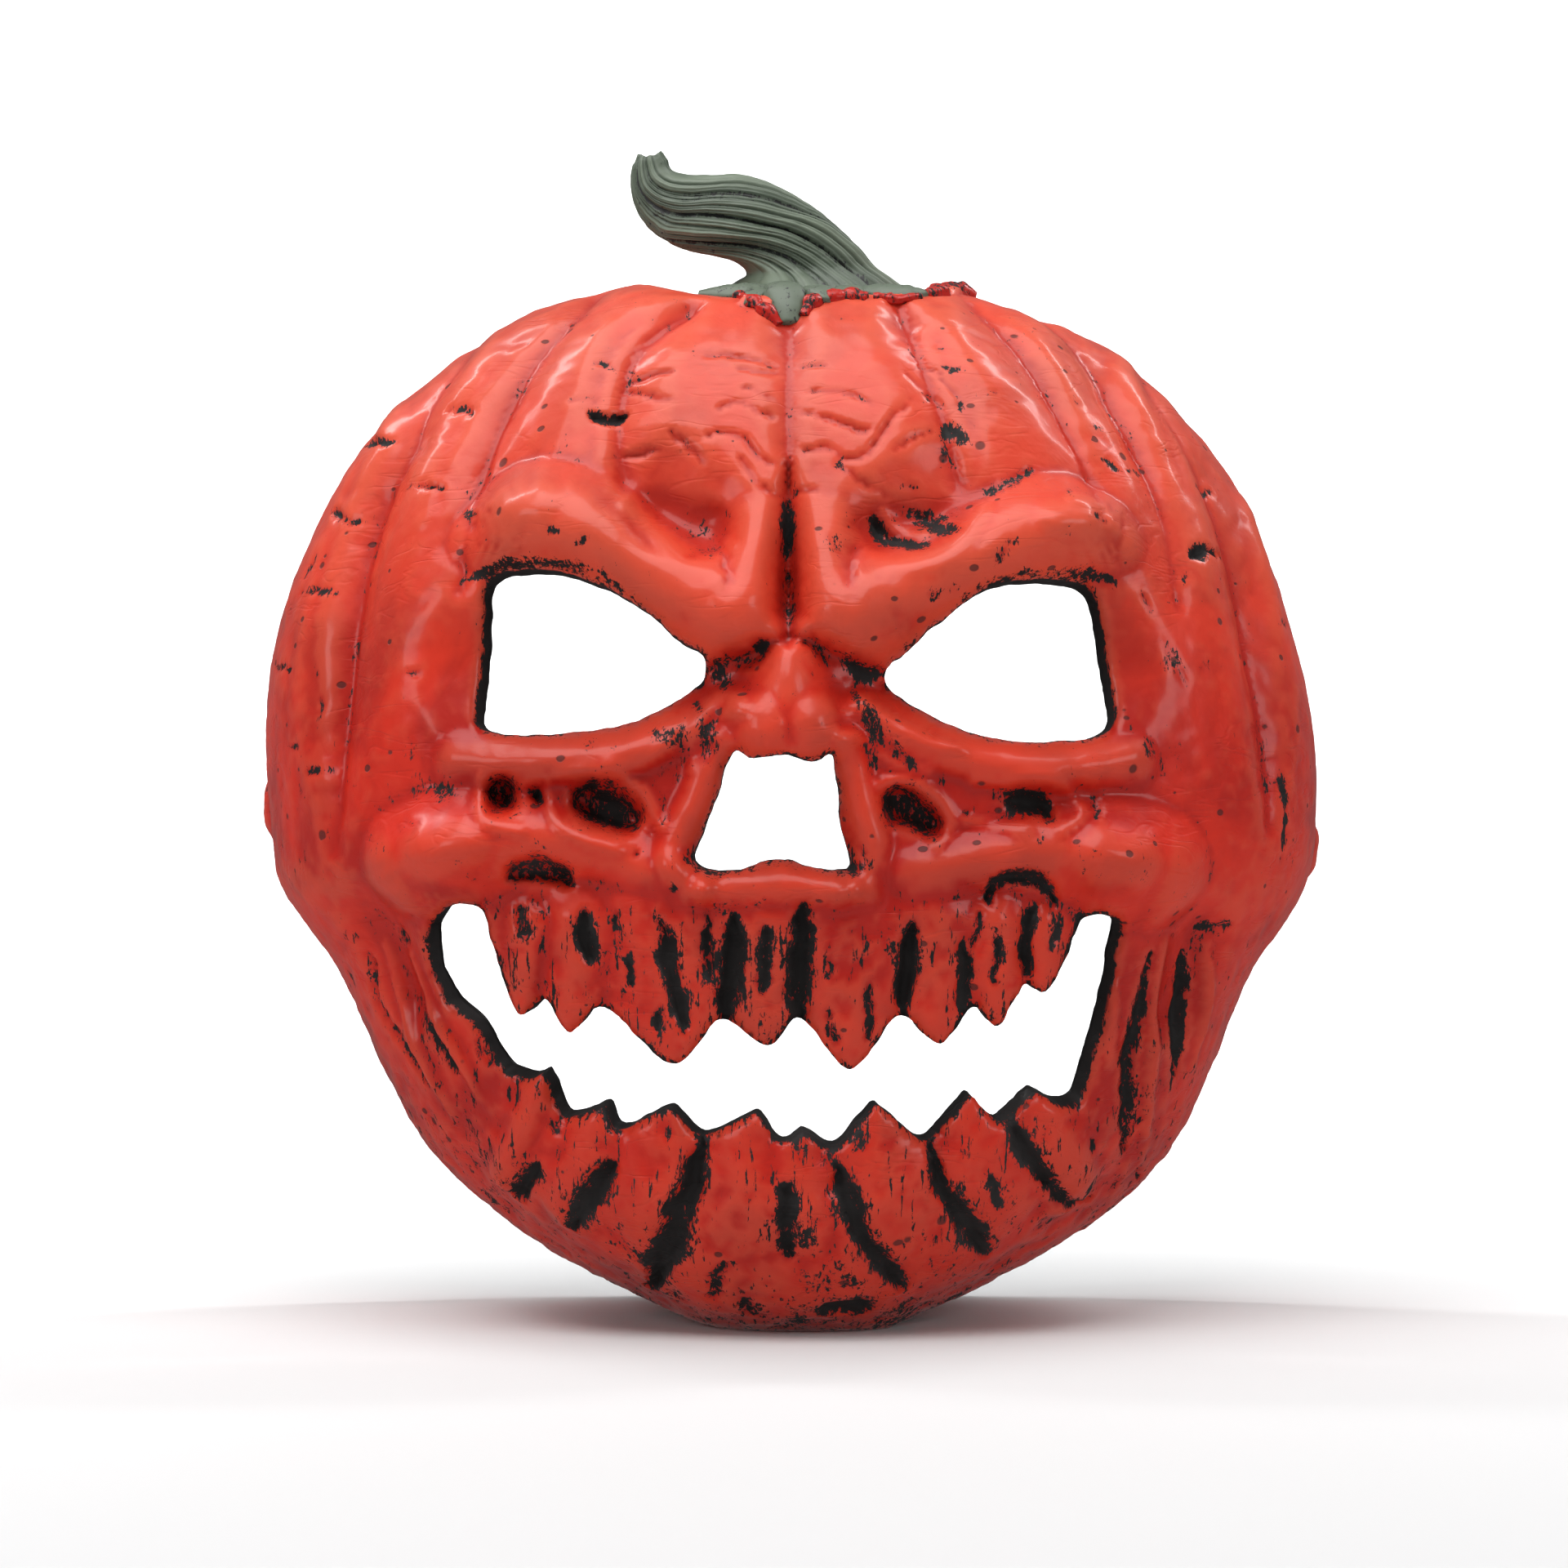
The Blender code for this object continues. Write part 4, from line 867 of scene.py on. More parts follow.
class NodeMaker:
    """Short ways to add and join shader nodes in one tree."""

    def __init__(self, tree: bpy.types.NodeTree) -> None:
        """Keeps the tree that the nodes go to."""
        self.tree = tree

    def add(self, kind: str, **settings: object) -> bpy.types.Node:
        """Adds a node and sets its properties."""
        made = self.tree.nodes.new(kind)
        for name, value in settings.items():
            setattr(made, name, value)
        return made

    def put(self, socket: bpy.types.NodeSocket, value: object) -> None:
        """Joins a socket to the input, or sets its plain value."""
        if isinstance(value, bpy.types.NodeSocket):
            self.tree.links.new(value, socket)
        else:
            socket.default_value = value

    def math(self, operation: str, *values: object, clamp: bool = False) -> bpy.types.NodeSocket:
        """Works out one sum of numbers or sockets."""
        made = self.add("ShaderNodeMath", operation=operation, use_clamp=clamp)
        for socket, value in zip(made.inputs, values):
            self.put(socket, value)
        return made.outputs[0]

    def ease(self, value: object, low: float, high: float) -> bpy.types.NodeSocket:
        """Eases from 0 at low to 1 at high."""
        made = self.add("ShaderNodeMapRange", interpolation_type="SMOOTHSTEP")
        for name, given in (("Value", value), ("From Min", low), ("From Max", high)):
            self.put(made.inputs[name], given)
        return made.outputs["Result"]

    def blend(self, share: object, first: object, second: object, how: str = "MIX") -> bpy.types.NodeSocket:
        """Mixes two colours."""
        made = self.add("ShaderNodeMix", data_type="RGBA", blend_type=how)
        for socket, value in zip((made.inputs[0], made.inputs[6], made.inputs[7]), (share, first, second)):
            self.put(socket, value)
        return made.outputs[2]

    def noise(self, place: object, scale: float, detail: float, rough: float, twist: float = 0.0) -> bpy.types.NodeSocket:
        """Fractal noise at a place."""
        made = self.add("ShaderNodeTexNoise")
        for name, value in (("Vector", place), ("Scale", scale), ("Detail", detail), ("Roughness", rough),
                            ("Distortion", twist)):
            self.put(made.inputs[name], value)
        return made.outputs["Fac"]

    def stretch(self, place: object, scale: Place) -> bpy.types.NodeSocket:
        """Stretches a place along each axis."""
        made = self.add("ShaderNodeVectorMath", operation="MULTIPLY")
        self.put(made.inputs[0], place)
        self.put(made.inputs[1], scale)
        return made.outputs[0]

    def mask(self, name: str) -> bpy.types.NodeSocket:
        """Reads a value that the mesh keeps at its vertices."""
        return self.add("ShaderNodeAttribute", attribute_type="GEOMETRY", attribute_name=name).outputs["Fac"]

    def place(self) -> bpy.types.NodeSocket:
        """The point in the object's own coordinates."""
        return self.add("ShaderNodeTexCoord").outputs["Object"]


def new_group(name: str, inputs: dict[str, float], outputs: tuple[str, ...]) -> tuple[bpy.types.NodeTree, NodeMaker, bpy.types.Node, bpy.types.Node]:
    """Starts a shader node group with number sockets.

    Args:
        name: the group's name.
        inputs: each input's name and usual value. "Place" is a vector.
        outputs: the outputs' names.

    Returns:
        The group, a maker for it, and its input and output nodes.
    """
    group = bpy.data.node_groups.new(name, "ShaderNodeTree")
    for label, value in inputs.items():
        kind = "NodeSocketVector" if label == "Place" else "NodeSocketFloat"
        socket = group.interface.new_socket(name=label, in_out="INPUT", socket_type=kind)
        if kind == "NodeSocketFloat":
            socket.default_value = value
    for label in outputs:
        group.interface.new_socket(name=label, in_out="OUTPUT", socket_type="NodeSocketFloat")
    make = NodeMaker(group)
    return group, make, make.add("NodeGroupInput"), make.add("NodeGroupOutput")


class Effects:
    """Shader node groups that the paints share."""

    def __init__(self) -> None:
        """Builds each group once."""
        self.wash = self.build_wash()
        self.pits = self.build_pits()
        self.skin = self.build_skin()

    def build_wash(self) -> bpy.types.NodeTree:
        """Black paint wiped off the high places: it stays in the recesses, in streaks and in specks. Its black input
        also brings painted shade.
        """
        group, make, given, out = new_group(
            "wiped_wash", {"Place": 0, "Black and shade": 0, "Hollow": 0, "Worn": 0, "Amount": 0.5}, ("Wash",))
        place = given.outputs["Place"]
        upright = make.stretch(place, (1.0, 1.0, 0.42))
        fine = make.noise(upright, 1500.0, 4.0, 0.65, 0.6)
        middling = make.noise(upright, 480.0, 4.0, 0.6, 0.8)
        broad = make.noise(place, 130.0, 3.0, 0.5, 0.3)
        streak = make.noise(make.stretch(place, (1.0, 0.6, 0.11)), 900.0, 4.0, 0.6, 0.3)
        grain = make.math("ADD", make.math("MULTIPLY", fine, 0.42), make.math("MULTIPLY", middling, 0.36))
        grain = make.math("ADD", grain, make.math("MULTIPLY", broad, 0.22))
        spread = make.math("MULTIPLY", make.math("SUBTRACT", grain, 0.5), 5.2)
        clouds = make.ease(make.noise(place, 62.0, 3.0, 0.55, 0.4), 0.50, 0.66)
        grimy = make.math("MULTIPLY", clouds, make.math("ADD", make.math("MULTIPLY", given.outputs["Worn"], 0.36), 0.10))
        # Black in the hollows, by their depth.
        hollow_black = make.math("MULTIPLY", given.outputs["Hollow"], given.outputs["Amount"])
        drawn = make.math("MULTIPLY", make.ease(streak, 0.53, 0.68), make.math("MULTIPLY", given.outputs["Worn"], 0.85))
        load = make.math("ADD", make.math("ADD", given.outputs["Black and shade"], hollow_black), make.math("ADD", drawn, grimy))
        edge = make.math("ADD", make.math("SUBTRACT", load, 0.66), spread)
        make.put(out.inputs["Wash"], make.ease(edge, 0.0, 0.14))
        return group

    def build_pits(self) -> bpy.types.NodeTree:
        """Scattered specks, where the black paint stays in pinholes of the casting."""
        group, make, given, out = new_group(
            "pinholes", {"Place": 0, "Scale": 200.0, "Share": 0.2, "Size": 0.25}, ("Speck",))
        cells = make.add("ShaderNodeTexVoronoi", feature="F1")
        make.put(cells.inputs["Vector"], given.outputs["Place"])
        make.put(cells.inputs["Scale"], given.outputs["Scale"])
        split = make.add("ShaderNodeSeparateColor")
        make.put(split.inputs[0], cells.outputs["Color"])
        chosen = make.math("LESS_THAN", split.outputs[0], given.outputs["Share"])
        radius = make.math("MULTIPLY", given.outputs["Size"], make.math("ADD", split.outputs[1], 0.3))
        near = make.math("SUBTRACT", radius, cells.outputs["Distance"])
        speck = make.math("MULTIPLY", chosen, make.ease(near, 0.0, 0.06))
        make.put(out.inputs["Speck"], speck)
        return group

    def build_skin(self) -> bpy.types.NodeTree:
        """The uneven skin of a sculpted casting: soft dents, and fine wrinkles across."""
        group, make, given, out = new_group(
            "cast_skin", {"Place": 0, "Dents": 1.0, "Wrinkles": 0.5}, ("Height", "Tone"))
        place = given.outputs["Place"]
        dents = make.noise(place, 150.0, 3.0, 0.5, 0.4)
        fine = make.noise(place, 700.0, 2.0, 0.5)
        folded = make.noise(make.stretch(place, (0.40, 0.6, 1.6)), 120.0, 2.0, 0.5, 0.5)
        ridged = make.math("ABSOLUTE", make.math("SUBTRACT", folded, 0.5))
        patches = make.ease(make.noise(place, 45.0, 2.0, 0.5), 0.46, 0.58)
        creased = make.math("MULTIPLY", make.math("SUBTRACT", make.ease(ridged, 0.0, 0.05), 1.0), patches)
        height = make.math("ADD", make.math("MULTIPLY", dents, given.outputs["Dents"]),
                           make.math("MULTIPLY", creased, given.outputs["Wrinkles"]))
        height = make.math("ADD", height, make.math("MULTIPLY", fine, 0.10))
        make.put(out.inputs["Height"], height)
        make.put(out.inputs["Tone"], make.noise(given.outputs["Place"], 34.0, 4.0, 0.55, 0.5))
        return group


def place_group(make: NodeMaker, group: bpy.types.NodeTree, values: dict[str, object]) -> bpy.types.Node:
    """Adds a shared effect to a material and sets its inputs."""
    made = make.add("ShaderNodeGroup", node_tree=group)
    for name, value in values.items():
        make.put(made.inputs[name], value)
    return made


@dataclass(frozen=True)
class ShellPaint:
    """Red-orange semi-gloss paint over the casting, with a black wash in its recesses, red deepened in the hollows as
    painted shade, and paler paint on raised places and towards the top, partly dry brush and partly painted highlight.
    """

    bright: Place = (0.66, 0.024, 0.008)
    deep: Place = (0.40, 0.009, 0.005)
    # Pale colour of the dry brush and of the painted highlights on raised places and at the top.
    drybrush_and_highlight: Place = (0.72, 0.115, 0.056)
    black: Place = (0.016, 0.014, 0.014)
    grey: Place = (0.032, 0.028, 0.028)

    def material(self, effects: Effects) -> bpy.types.Material:
        """Makes the paint.

        Args:
            effects: the shared node groups.

        Returns:
            The material, which reads the masks of black paint and painted shade, hollow, rise, worn, painted highlight
            and inside.
        """
        made = bpy.data.materials.new("red_paint")
        made.use_nodes = True
        make = NodeMaker(made.node_tree)
        shader = made.node_tree.nodes["Principled BSDF"]
        place = make.place()
        skin = place_group(make, effects.skin, {"Place": place, "Dents": 0.95, "Wrinkles": 0.26})
        wash = place_group(make, effects.wash, {
            "Place": place, "Black and shade": make.mask("black_and_shade"), "Hollow": make.mask("hollow"),
            "Worn": make.mask("worn"), "Amount": 0.30})
        specks = place_group(make, effects.pits, {"Place": make.stretch(place, (0.7, 1.0, 1.0)), "Scale": 250.0,
                                                  "Share": 0.20, "Size": 0.20})
        dots = place_group(make, effects.pits, {"Place": place, "Scale": 120.0, "Share": 0.16, "Size": 0.14})
        marks = make.math("MAXIMUM", specks.outputs["Speck"], dots.outputs["Speck"])
        wiped = make.math("MAXIMUM", wash.outputs["Wash"], make.math("MULTIPLY", marks, 0.75))
        wiped = make.math("MAXIMUM", wiped, make.mask("inside"))
        tone = skin.outputs["Tone"]
        red = make.blend(make.ease(tone, 0.34, 0.64), (*self.deep, 1.0), (*self.bright, 1.0))
        # The paint turns pale on raised places, partly dry brush and partly painted highlight, and towards the top as
        # painted highlight from the light above.
        painted_highlight = make.math("ADD", make.math("MULTIPLY", make.mask("rise"), 0.30), make.mask("painted_highlight"), clamp=True)
        red = make.blend(painted_highlight, red, (*self.drybrush_and_highlight, 1.0))
        # Painted shade: the red deepens in the hollows.
        red = make.blend(make.math("MULTIPLY", make.mask("hollow"), 0.70), red, (*self.deep, 1.0))
        dusky = make.math("MULTIPLY", make.ease(tone, 0.40, 0.70), make.math("ADD", make.mask("worn"), 0.25))
        red = make.blend(make.math("MULTIPLY", dusky, 0.45), red, (*self.deep, 1.0))
        dark = make.blend(make.ease(tone, 0.45, 0.75), (*self.black, 1.0), (*self.grey, 1.0))
        make.put(shader.inputs["Base Color"], make.blend(wiped, red, dark))
        gloss = make.math("ADD", 0.37, make.math("MULTIPLY", tone, 0.16))
        make.put(shader.inputs["Roughness"], make.math("ADD", gloss, make.math("MULTIPLY", wiped, 0.22)))
        shader.inputs["IOR"].default_value = 1.38
        shader.inputs["Specular IOR Level"].default_value = 0.28
        make.put(shader.inputs["Coat Weight"], make.math("SUBTRACT", 0.42, make.math("MULTIPLY", wiped, 0.36)))
        shader.inputs["Coat Roughness"].default_value = 0.17
        shader.inputs["Coat IOR"].default_value = 1.38
        bump = make.add("ShaderNodeBump")
        bump.inputs["Strength"].default_value = 0.55
        bump.inputs["Distance"].default_value = 0.0006
        pitted = make.math("SUBTRACT", skin.outputs["Height"], make.math("MULTIPLY", marks, 0.9))
        make.put(bump.inputs["Height"], pitted)
        make.put(shader.inputs["Normal"], bump.outputs["Normal"])
        return made


@dataclass(frozen=True)
class StemPaint:
    """Grey-green satin paint with a dark wash between the strands, and painted shade with black wash on its underside.
    """

    bright: Place = (0.145, 0.180, 0.128)
    deep: Place = (0.048, 0.068, 0.044)
    black: Place = (0.015, 0.016, 0.015)

    def material(self, effects: Effects) -> bpy.types.Material:
        """Makes the paint, which reads the masks of black paint and painted shade, hollow and rise."""
        made = bpy.data.materials.new("green_paint")
        made.use_nodes = True
        make = NodeMaker(made.node_tree)
        shader = made.node_tree.nodes["Principled BSDF"]
        place = make.place()
        skin = place_group(make, effects.skin, {"Place": place, "Dents": 0.5, "Wrinkles": 0.1})
        wash = place_group(make, effects.wash, {
            "Place": place, "Black and shade": make.mask("black_and_shade"), "Hollow": make.mask("hollow"), "Worn": 0.0,
            "Amount": 0.55})
        green = make.blend(make.math("ADD", make.math("MULTIPLY", make.mask("rise"), 0.7),
                                     make.math("MULTIPLY", skin.outputs["Tone"], 0.45), clamp=True),
                           (*self.deep, 1.0), (*self.bright, 1.0))
        make.put(shader.inputs["Base Color"], make.blend(wash.outputs["Wash"], green, (*self.black, 1.0)))
        make.put(shader.inputs["Roughness"], make.math("ADD", 0.40, make.math("MULTIPLY", skin.outputs["Tone"], 0.2)))
        bump = make.add("ShaderNodeBump")
        bump.inputs["Strength"].default_value = 0.5
        bump.inputs["Distance"].default_value = 0.0005
        make.put(bump.inputs["Height"], skin.outputs["Height"])
        make.put(shader.inputs["Normal"], bump.outputs["Normal"])
        return made


@dataclass
class Seat:
    """Where the stem stands on the crown."""

    layout: Layout
    x_steps: int = 26
    z_steps: int = 1232
    back: float = 0.033
    slope: float = 0.10
    base_width: float = 0.046
    depth_share: float = 0.82
    margin: float = 1.10
    blend: float = 1.75
    gap: float = 0.0003

    @property
    def foot(self) -> tuple[float, float]:
        """x and y of the stem's axis at its base."""
        return self.x_steps * self.layout.step, self.layout.rim_y - self.back

    def level(self, y: np.ndarray | float) -> np.ndarray | float:
        """Height of the seat, which falls towards the front."""
        crown = self.z_steps * self.layout.shell_height / self.layout.height_steps
        return crown + self.slope * (y - self.foot[1])

    def press(self, points: np.ndarray, inset: float) -> np.ndarray:
        """Presses the seat and the flat of the chin into the shell.

        Args:
            points: points of a skin.
            inset: the wall, on the inner skin, or 0.

        Returns:
            The points with both flats.
        """
        points = points.copy()
        x, y = self.foot
        base = self.base_width * STEM_SIDES[0][2]
        far = np.hypot((points[:, 0] - x) / base, (points[:, 1] - y) / (base * self.depth_share))
        pressed = 1 - smoothstep(self.margin, self.blend, far)
        pressed[points[:, 2] < self.layout.middle_z] = 0.0
        points[:, 2] += pressed * (self.level(points[:, 1]) - inset - points[:, 2])
        points[:, 2] = np.maximum(points[:, 2], inset)
        return points


@dataclass
class Runner:
    """Closed round runs that lie on the crown: the roots of the stem and the crumbs of skin beside them."""

    layout: Layout
    seat: Seat
    round_points: int = 26
    spacing: float = 1.6

    def lay(self, sculptor: Sculptor, path: Path3, flatness: float,
            lumps: float) -> tuple[np.ndarray, list[tuple[int, ...]]]:
        """Lays one run over the crown.

        Args:
            sculptor: gives the crown's surface.
            path: the run's places and half widths.
            flatness: its height as a share of its half width.
            lumps: how much its thickness varies along it.

        Returns:
            Its points and faces, closed at both ends.
        """
        line = curve_through(path, self.spacing)
        flat = self.layout.pattern_of(self.layout.in_metres(line[:, :2]), seen=True)
        base, share = self.layout.dome(flat)
        height, _ = sculptor.lay(base, (*HOLLOWS, *LOBES))
        spine = self.seat.press(base + self.layout.lift_way(flat, share) * height[:, None], 0.0)
        ahead = np.gradient(spine, axis=0)
        ahead /= np.linalg.norm(ahead, axis=1, keepdims=True)
        beside = np.cross(ahead, (0.0, -0.6, 0.8))
        beside /= np.linalg.norm(beside, axis=1, keepdims=True)
        lift = np.cross(beside, ahead)
        turn = np.linspace(0, 2 * math.pi, self.round_points, endpoint=False)
        half = line[:, 2] * self.layout.step * (1 + lumps * roughness_of(spine, 0.003, 2, 31.0))
        across = np.cos(turn) * (1 + 0.10 * np.cos(5 * turn + 1.0))
        up = np.sin(turn) * flatness + 0.1
        rings = spine[:, None, :] + half[:, None, None] * (
            across[None, :, None] * beside[:, None, :] + up[None, :, None] * lift[:, None, :])
        points = np.vstack([rings.reshape(-1, 3), rings[0].mean(axis=0), rings[-1].mean(axis=0)])
        points += 0.00012 * np.column_stack([roughness_of(points, 0.0016, 2, seed) for seed in (3.0, 7.0, 19.0)])
        count, last = self.round_points, (len(rings) - 1) * self.round_points
        faces = [(r * count + i, r * count + (i + 1) % count, (r + 1) * count + (i + 1) % count, (r + 1) * count + i)
                 for r in range(len(rings) - 1) for i in range(count)]
        faces += [(i, (i + 1) % count, len(points) - 2) for i in range(count)]
        faces += [(last + i, last + (i + 1) % count, len(points) - 1) for i in range(count)]
        return points, faces


@dataclass
class MaskShell:
    """The pumpkin's half shell with its carved face, painted red and washed with black."""

    layout: Layout
    seat: Seat
    wall: float = 0.004
    fine_edge: float = 0.00115
    side_edge: float = 0.0017
    inner_edge: float = 0.0026
    loop_edge: float = 0.0010
    rim_edge: float = 0.0018
    slant: float = 1.3
    lip: float = 0.0016
    ragged: float = 0.0004
    wall_rows: int = 4
    tooth_rise: float = 0.24
    tooth_spread: float = 0.62
    upper_root: int = 470

    def mouth_loop(self) -> Path3:
        """The mouth, anticlockwise: up the right side, over the upper teeth and back along the lower."""
        upper = [place for row in UPPER_TEETH for place in (row[:2], row[2:])]
        lower = self.pointed(MOUTH_RIGHT[-1], LOWER_TEETH, 0.26)
        return tuple([*MOUTH_START, *upper, *MOUTH_RIGHT, *lower, *MOUTH_LEFT][::-1])

    @staticmethod
    def pointed(start: Place, teeth: Path3, share: float) -> list[Place]:
        """Adds a place on both sides of each tooth's tip, so that the curve comes to a point there.

        Args:
            start: the last place before the teeth.
            teeth: tip and next gap of each tooth.
            share: how far from the tip the added places are, as a share of the tooth's side.

        Returns:
            The places along the teeth.
        """
        found, last = [], np.array(start)
        for row in teeth:
            tip, gap = np.array(row[:2]), np.array(row[2:])
            found += [tuple(tip + share * (last - tip)), tuple(tip), tuple(tip + share * (gap - tip)), tuple(gap)]
            last = gap
        return found

    def teeth(self) -> tuple[Stroke, ...]:
        """A bulge down each tooth of both jaws."""
        rows = []
        left = MOUTH_START[-1][0]
        for tip_x, tip_z, gap_x, _ in UPPER_TEETH:
            half = self.tooth_spread * (gap_x - left)
            root = ((left + gap_x) / 2, self.upper_root, half)
            rows.append(Stroke(self.tooth_rise, Form.ROLL, 0.0, (root, (tip_x, tip_z, half * 0.8))))
            left = gap_x
        right = MOUTH_RIGHT[-1][0]
        for tip_x, tip_z, gap_x, _ in LOWER_TEETH:
            half = self.tooth_spread * (right - gap_x)
            foot = (tip_x * 1.12, tip_z - 110, half)
            rows.append(Stroke(self.tooth_rise * 0.8, Form.ROLL, 0.0, ((tip_x, tip_z, half * 0.8), foot)))
            right = gap_x
        return tuple(rows)

    def loops(self) -> tuple[list[np.ndarray], list[np.ndarray]]:
        """The rim's loop and each hole's, on the flat pattern.

        Returns:
            Those of the outer skin and those of the inner, point for point.
        """
        line = curve_through(OUTLINE, self.rim_edge / self.layout.step, closed=True)
        angle = np.arctan2(*self.layout.in_metres(line).T[::-1])
        _, run, _, arc = self.layout.section(angle)
        rim = np.column_stack([np.cos(angle), np.sin(angle)]) * (arc + run)[:, None]
        outer, inner = [rim], [rim]
        for hole in (RIGHT_EYE, LEFT_EYE, NOSE_HOLE, self.mouth_loop()):
            line = self.layout.in_metres(curve_through(hole, self.loop_edge / self.layout.step, closed=True))
            ahead = np.roll(line, -1, axis=0) - np.roll(line, 1, axis=0)
            ahead /= np.linalg.norm(ahead, axis=1, keepdims=True)
            wander = roughness_of(np.column_stack([line, np.zeros(len(line))]), 0.0045, 3, 5.0)
            line += np.column_stack([ahead[:, 1], -ahead[:, 0]]) * (wander * self.ragged)[:, None]
            cut = self.layout.pattern_of(line, seen=True)
            seen = self.layout.dome(cut)[0][:, [0, 2]] - (0.0, self.layout.middle_z)
            drawn_in = seen - self.wall * self.slant * self.layout.outward(cut)[:, [0, 2]]
            outer.append(cut)
            inner.append(self.layout.pattern_of(drawn_in))
        return outer, inner

    def outer_skin(self, sculptor: Sculptor, pattern: Pattern) -> tuple[np.ndarray, np.ndarray]:
        """Shapes the painted side.

        Args:
            sculptor: lays the strokes.
            Its points, and the black share on them: the strokes' black paint, black round the holes and at the rim, and
                painted shade with black wash at the bottom of the chin.

        Returns:
            Its points, and the soot that the strokes leave on them.
        """
        base, share = self.layout.dome(pattern.points)
        everything = (*HOLLOWS, *ROLLS, *BROW_CREASE, *LOBES, *PITS, *WELTS, *self.teeth())
        height, black_and_shade = sculptor.lay(base, everything)
        cuts, cut_soot = sculptor.lay(base, (*GROOVES, *MARKS))
        height += cuts
        black_and_shade = np.maximum(black_and_shade, cut_soot)
        height += 0.00045 * roughness_of(base, 0.016, 3, 1.0) + 0.00016 * roughness_of(base, 0.004, 3, 9.0)
        coarse = np.abs(roughness_of(base, 0.0075, 3, 27.0))
        height += self.worn_places(base) * 0.0010 * (0.3 - coarse)
        for rise, x, z, half in SIDE_NUBS:
            path = ((x, z + half / 2, half), (x, z - half / 2, half))
            height += sculptor.lay(base, (Stroke(rise, Form.ROLL, 0.0, path),))[0]
        first_hole = pattern.loop_sizes[0]
        edge = pattern.points[first_hole:sum(pattern.loop_sizes)]
        near = Cutter.distance_to(base, self.layout.dome(edge)[0])
        inset = np.clip(self.lip - near, 0.0, self.lip)
        height -= 0.7 * (self.lip - np.sqrt(self.lip**2 - inset**2))
        black_and_shade = np.maximum(black_and_shade, 0.66 * (1 - smoothstep(0.0002, 0.0012, near)))
        points = base + self.layout.lift_way(pattern.points, share) * height[:, None]
        black_and_shade = np.maximum(black_and_shade, 0.9 * smoothstep(-0.016, -0.004, base[:, 1] - self.layout.rim_y))
        # Painted shade with some black wash: the bottom of the chin, nearest the floor, turns dark.
        under = 0.42 * smoothstep(0.012, 0.001, base[:, 2])
        return self.seat.press(points, 0.0), np.maximum(black_and_shade, under)

    def worn_places(self, points: np.ndarray) -> np.ndarray:
        """Where a dry brush dragged black down over the ribs: both jaws, and a little of the cheeks.

        Args:
            points: the outer skin's points.

        Returns:
            The share of streaks at each, from 0 to 1.
        """
        height = points[:, 2] / self.layout.shell_height * self.layout.height_steps
        across = np.abs(points[:, 0]) / self.layout.step
        upper_jaw = smoothstep(540, 480, height) * (1 - smoothstep(330, 420, across))
        lower_jaw = smoothstep(310, 240, height)
        flank = 0.55 * smoothstep(520, 440, height) * smoothstep(330, 420, across)
        cheek = 0.30 * smoothstep(760, 700, height)
        return np.maximum.reduce([upper_jaw, lower_jaw, flank, cheek])

    def inner_skin(self, sculptor: Sculptor, pattern: Pattern) -> np.ndarray:
        """Shapes the hollow side, which follows the broad forms."""
        base, share = self.layout.dome(pattern.points)
        height, _ = sculptor.lay(base, (*HOLLOWS, *ROLLS, *BROW_CREASE, *LOBES, *PITS))
        height += 0.0003 * roughness_of(base, 0.014, 3, 4.0)
        points = base + self.layout.lift_way(pattern.points, share) * (height - self.wall)[:, None]
        return self.seat.press(points, self.wall)

    def walls(self, outer: np.ndarray, inner: np.ndarray, sizes: tuple[int, ...],
              first_inner: int, first_new: int) -> tuple[np.ndarray, list[tuple[int, ...]]]:
        """Joins the skins round the rim and through each hole, with rows of slightly torn edge between.

        Args:
            outer: the outer skin's points.
            inner: the inner skin's points.
            sizes: how many points each loop has.
            first_inner: index of the inner skin's first point.
            first_new: index of the first point that the walls add.

        Returns:
            The new points and the faces.
        """
        total = sum(sizes)
        rows = [np.arange(total)]
        added = []
        for level in range(1, self.wall_rows):
            t = level / self.wall_rows
            row = outer[:total] * (1 - t) + inner[:total] * t
            rough = np.column_stack([roughness_of(row, 0.003, 3, seed) for seed in (2.0, 6.0, 11.0)])
            rough[:sizes[0]] = 0.0
            added.append(row + 0.00022 * rough)
            rows.append(first_new + (level - 1) * total + np.arange(total))
        rows.append(first_inner + np.arange(total))
        faces, start = [], 0
        for count in sizes:
            for upper, lower in zip(rows, rows[1:]):
                for i in range(count):
                    a, b = start + i, start + (i + 1) % count
                    faces.append((upper[a], upper[b], lower[b]))
                    faces.append((upper[a], lower[b], lower[a]))
            start += count
        return np.vstack(added), faces

    def build(self, paint: bpy.types.Material) -> bpy.types.Object:
        """Builds the shell, stores its paint masks and dresses it.

        Args:
            paint: the red paint.

        Returns:
            The finished piece.
        """
        sculptor, cutter = Sculptor(self.layout), Cutter(self.layout)
        outer_loops, inner_loops = self.loops()
        outer_pattern = cutter.cut(outer_loops, self.fine_edge, self.side_edge)
        inner_pattern = cutter.cut(inner_loops, self.inner_edge, self.inner_edge)
        outer, black_and_shade = self.outer_skin(sculptor, outer_pattern)
        inner = self.inner_skin(sculptor, inner_pattern)
        first_inner, first_new = len(outer), len(outer) + len(inner)
        added, wall_faces = self.walls(outer, inner, outer_pattern.loop_sizes, first_inner, first_new)
        points = np.vstack([outer, inner, added])
        faces = [*map(tuple, outer_pattern.faces), *map(tuple, inner_pattern.faces + first_inner), *wall_faces]
        rest = np.zeros(len(inner) + len(added))
        fine = hollowness(outer, outer_pattern.faces, 5)
        broad = hollowness(outer, outer_pattern.faces, 40)
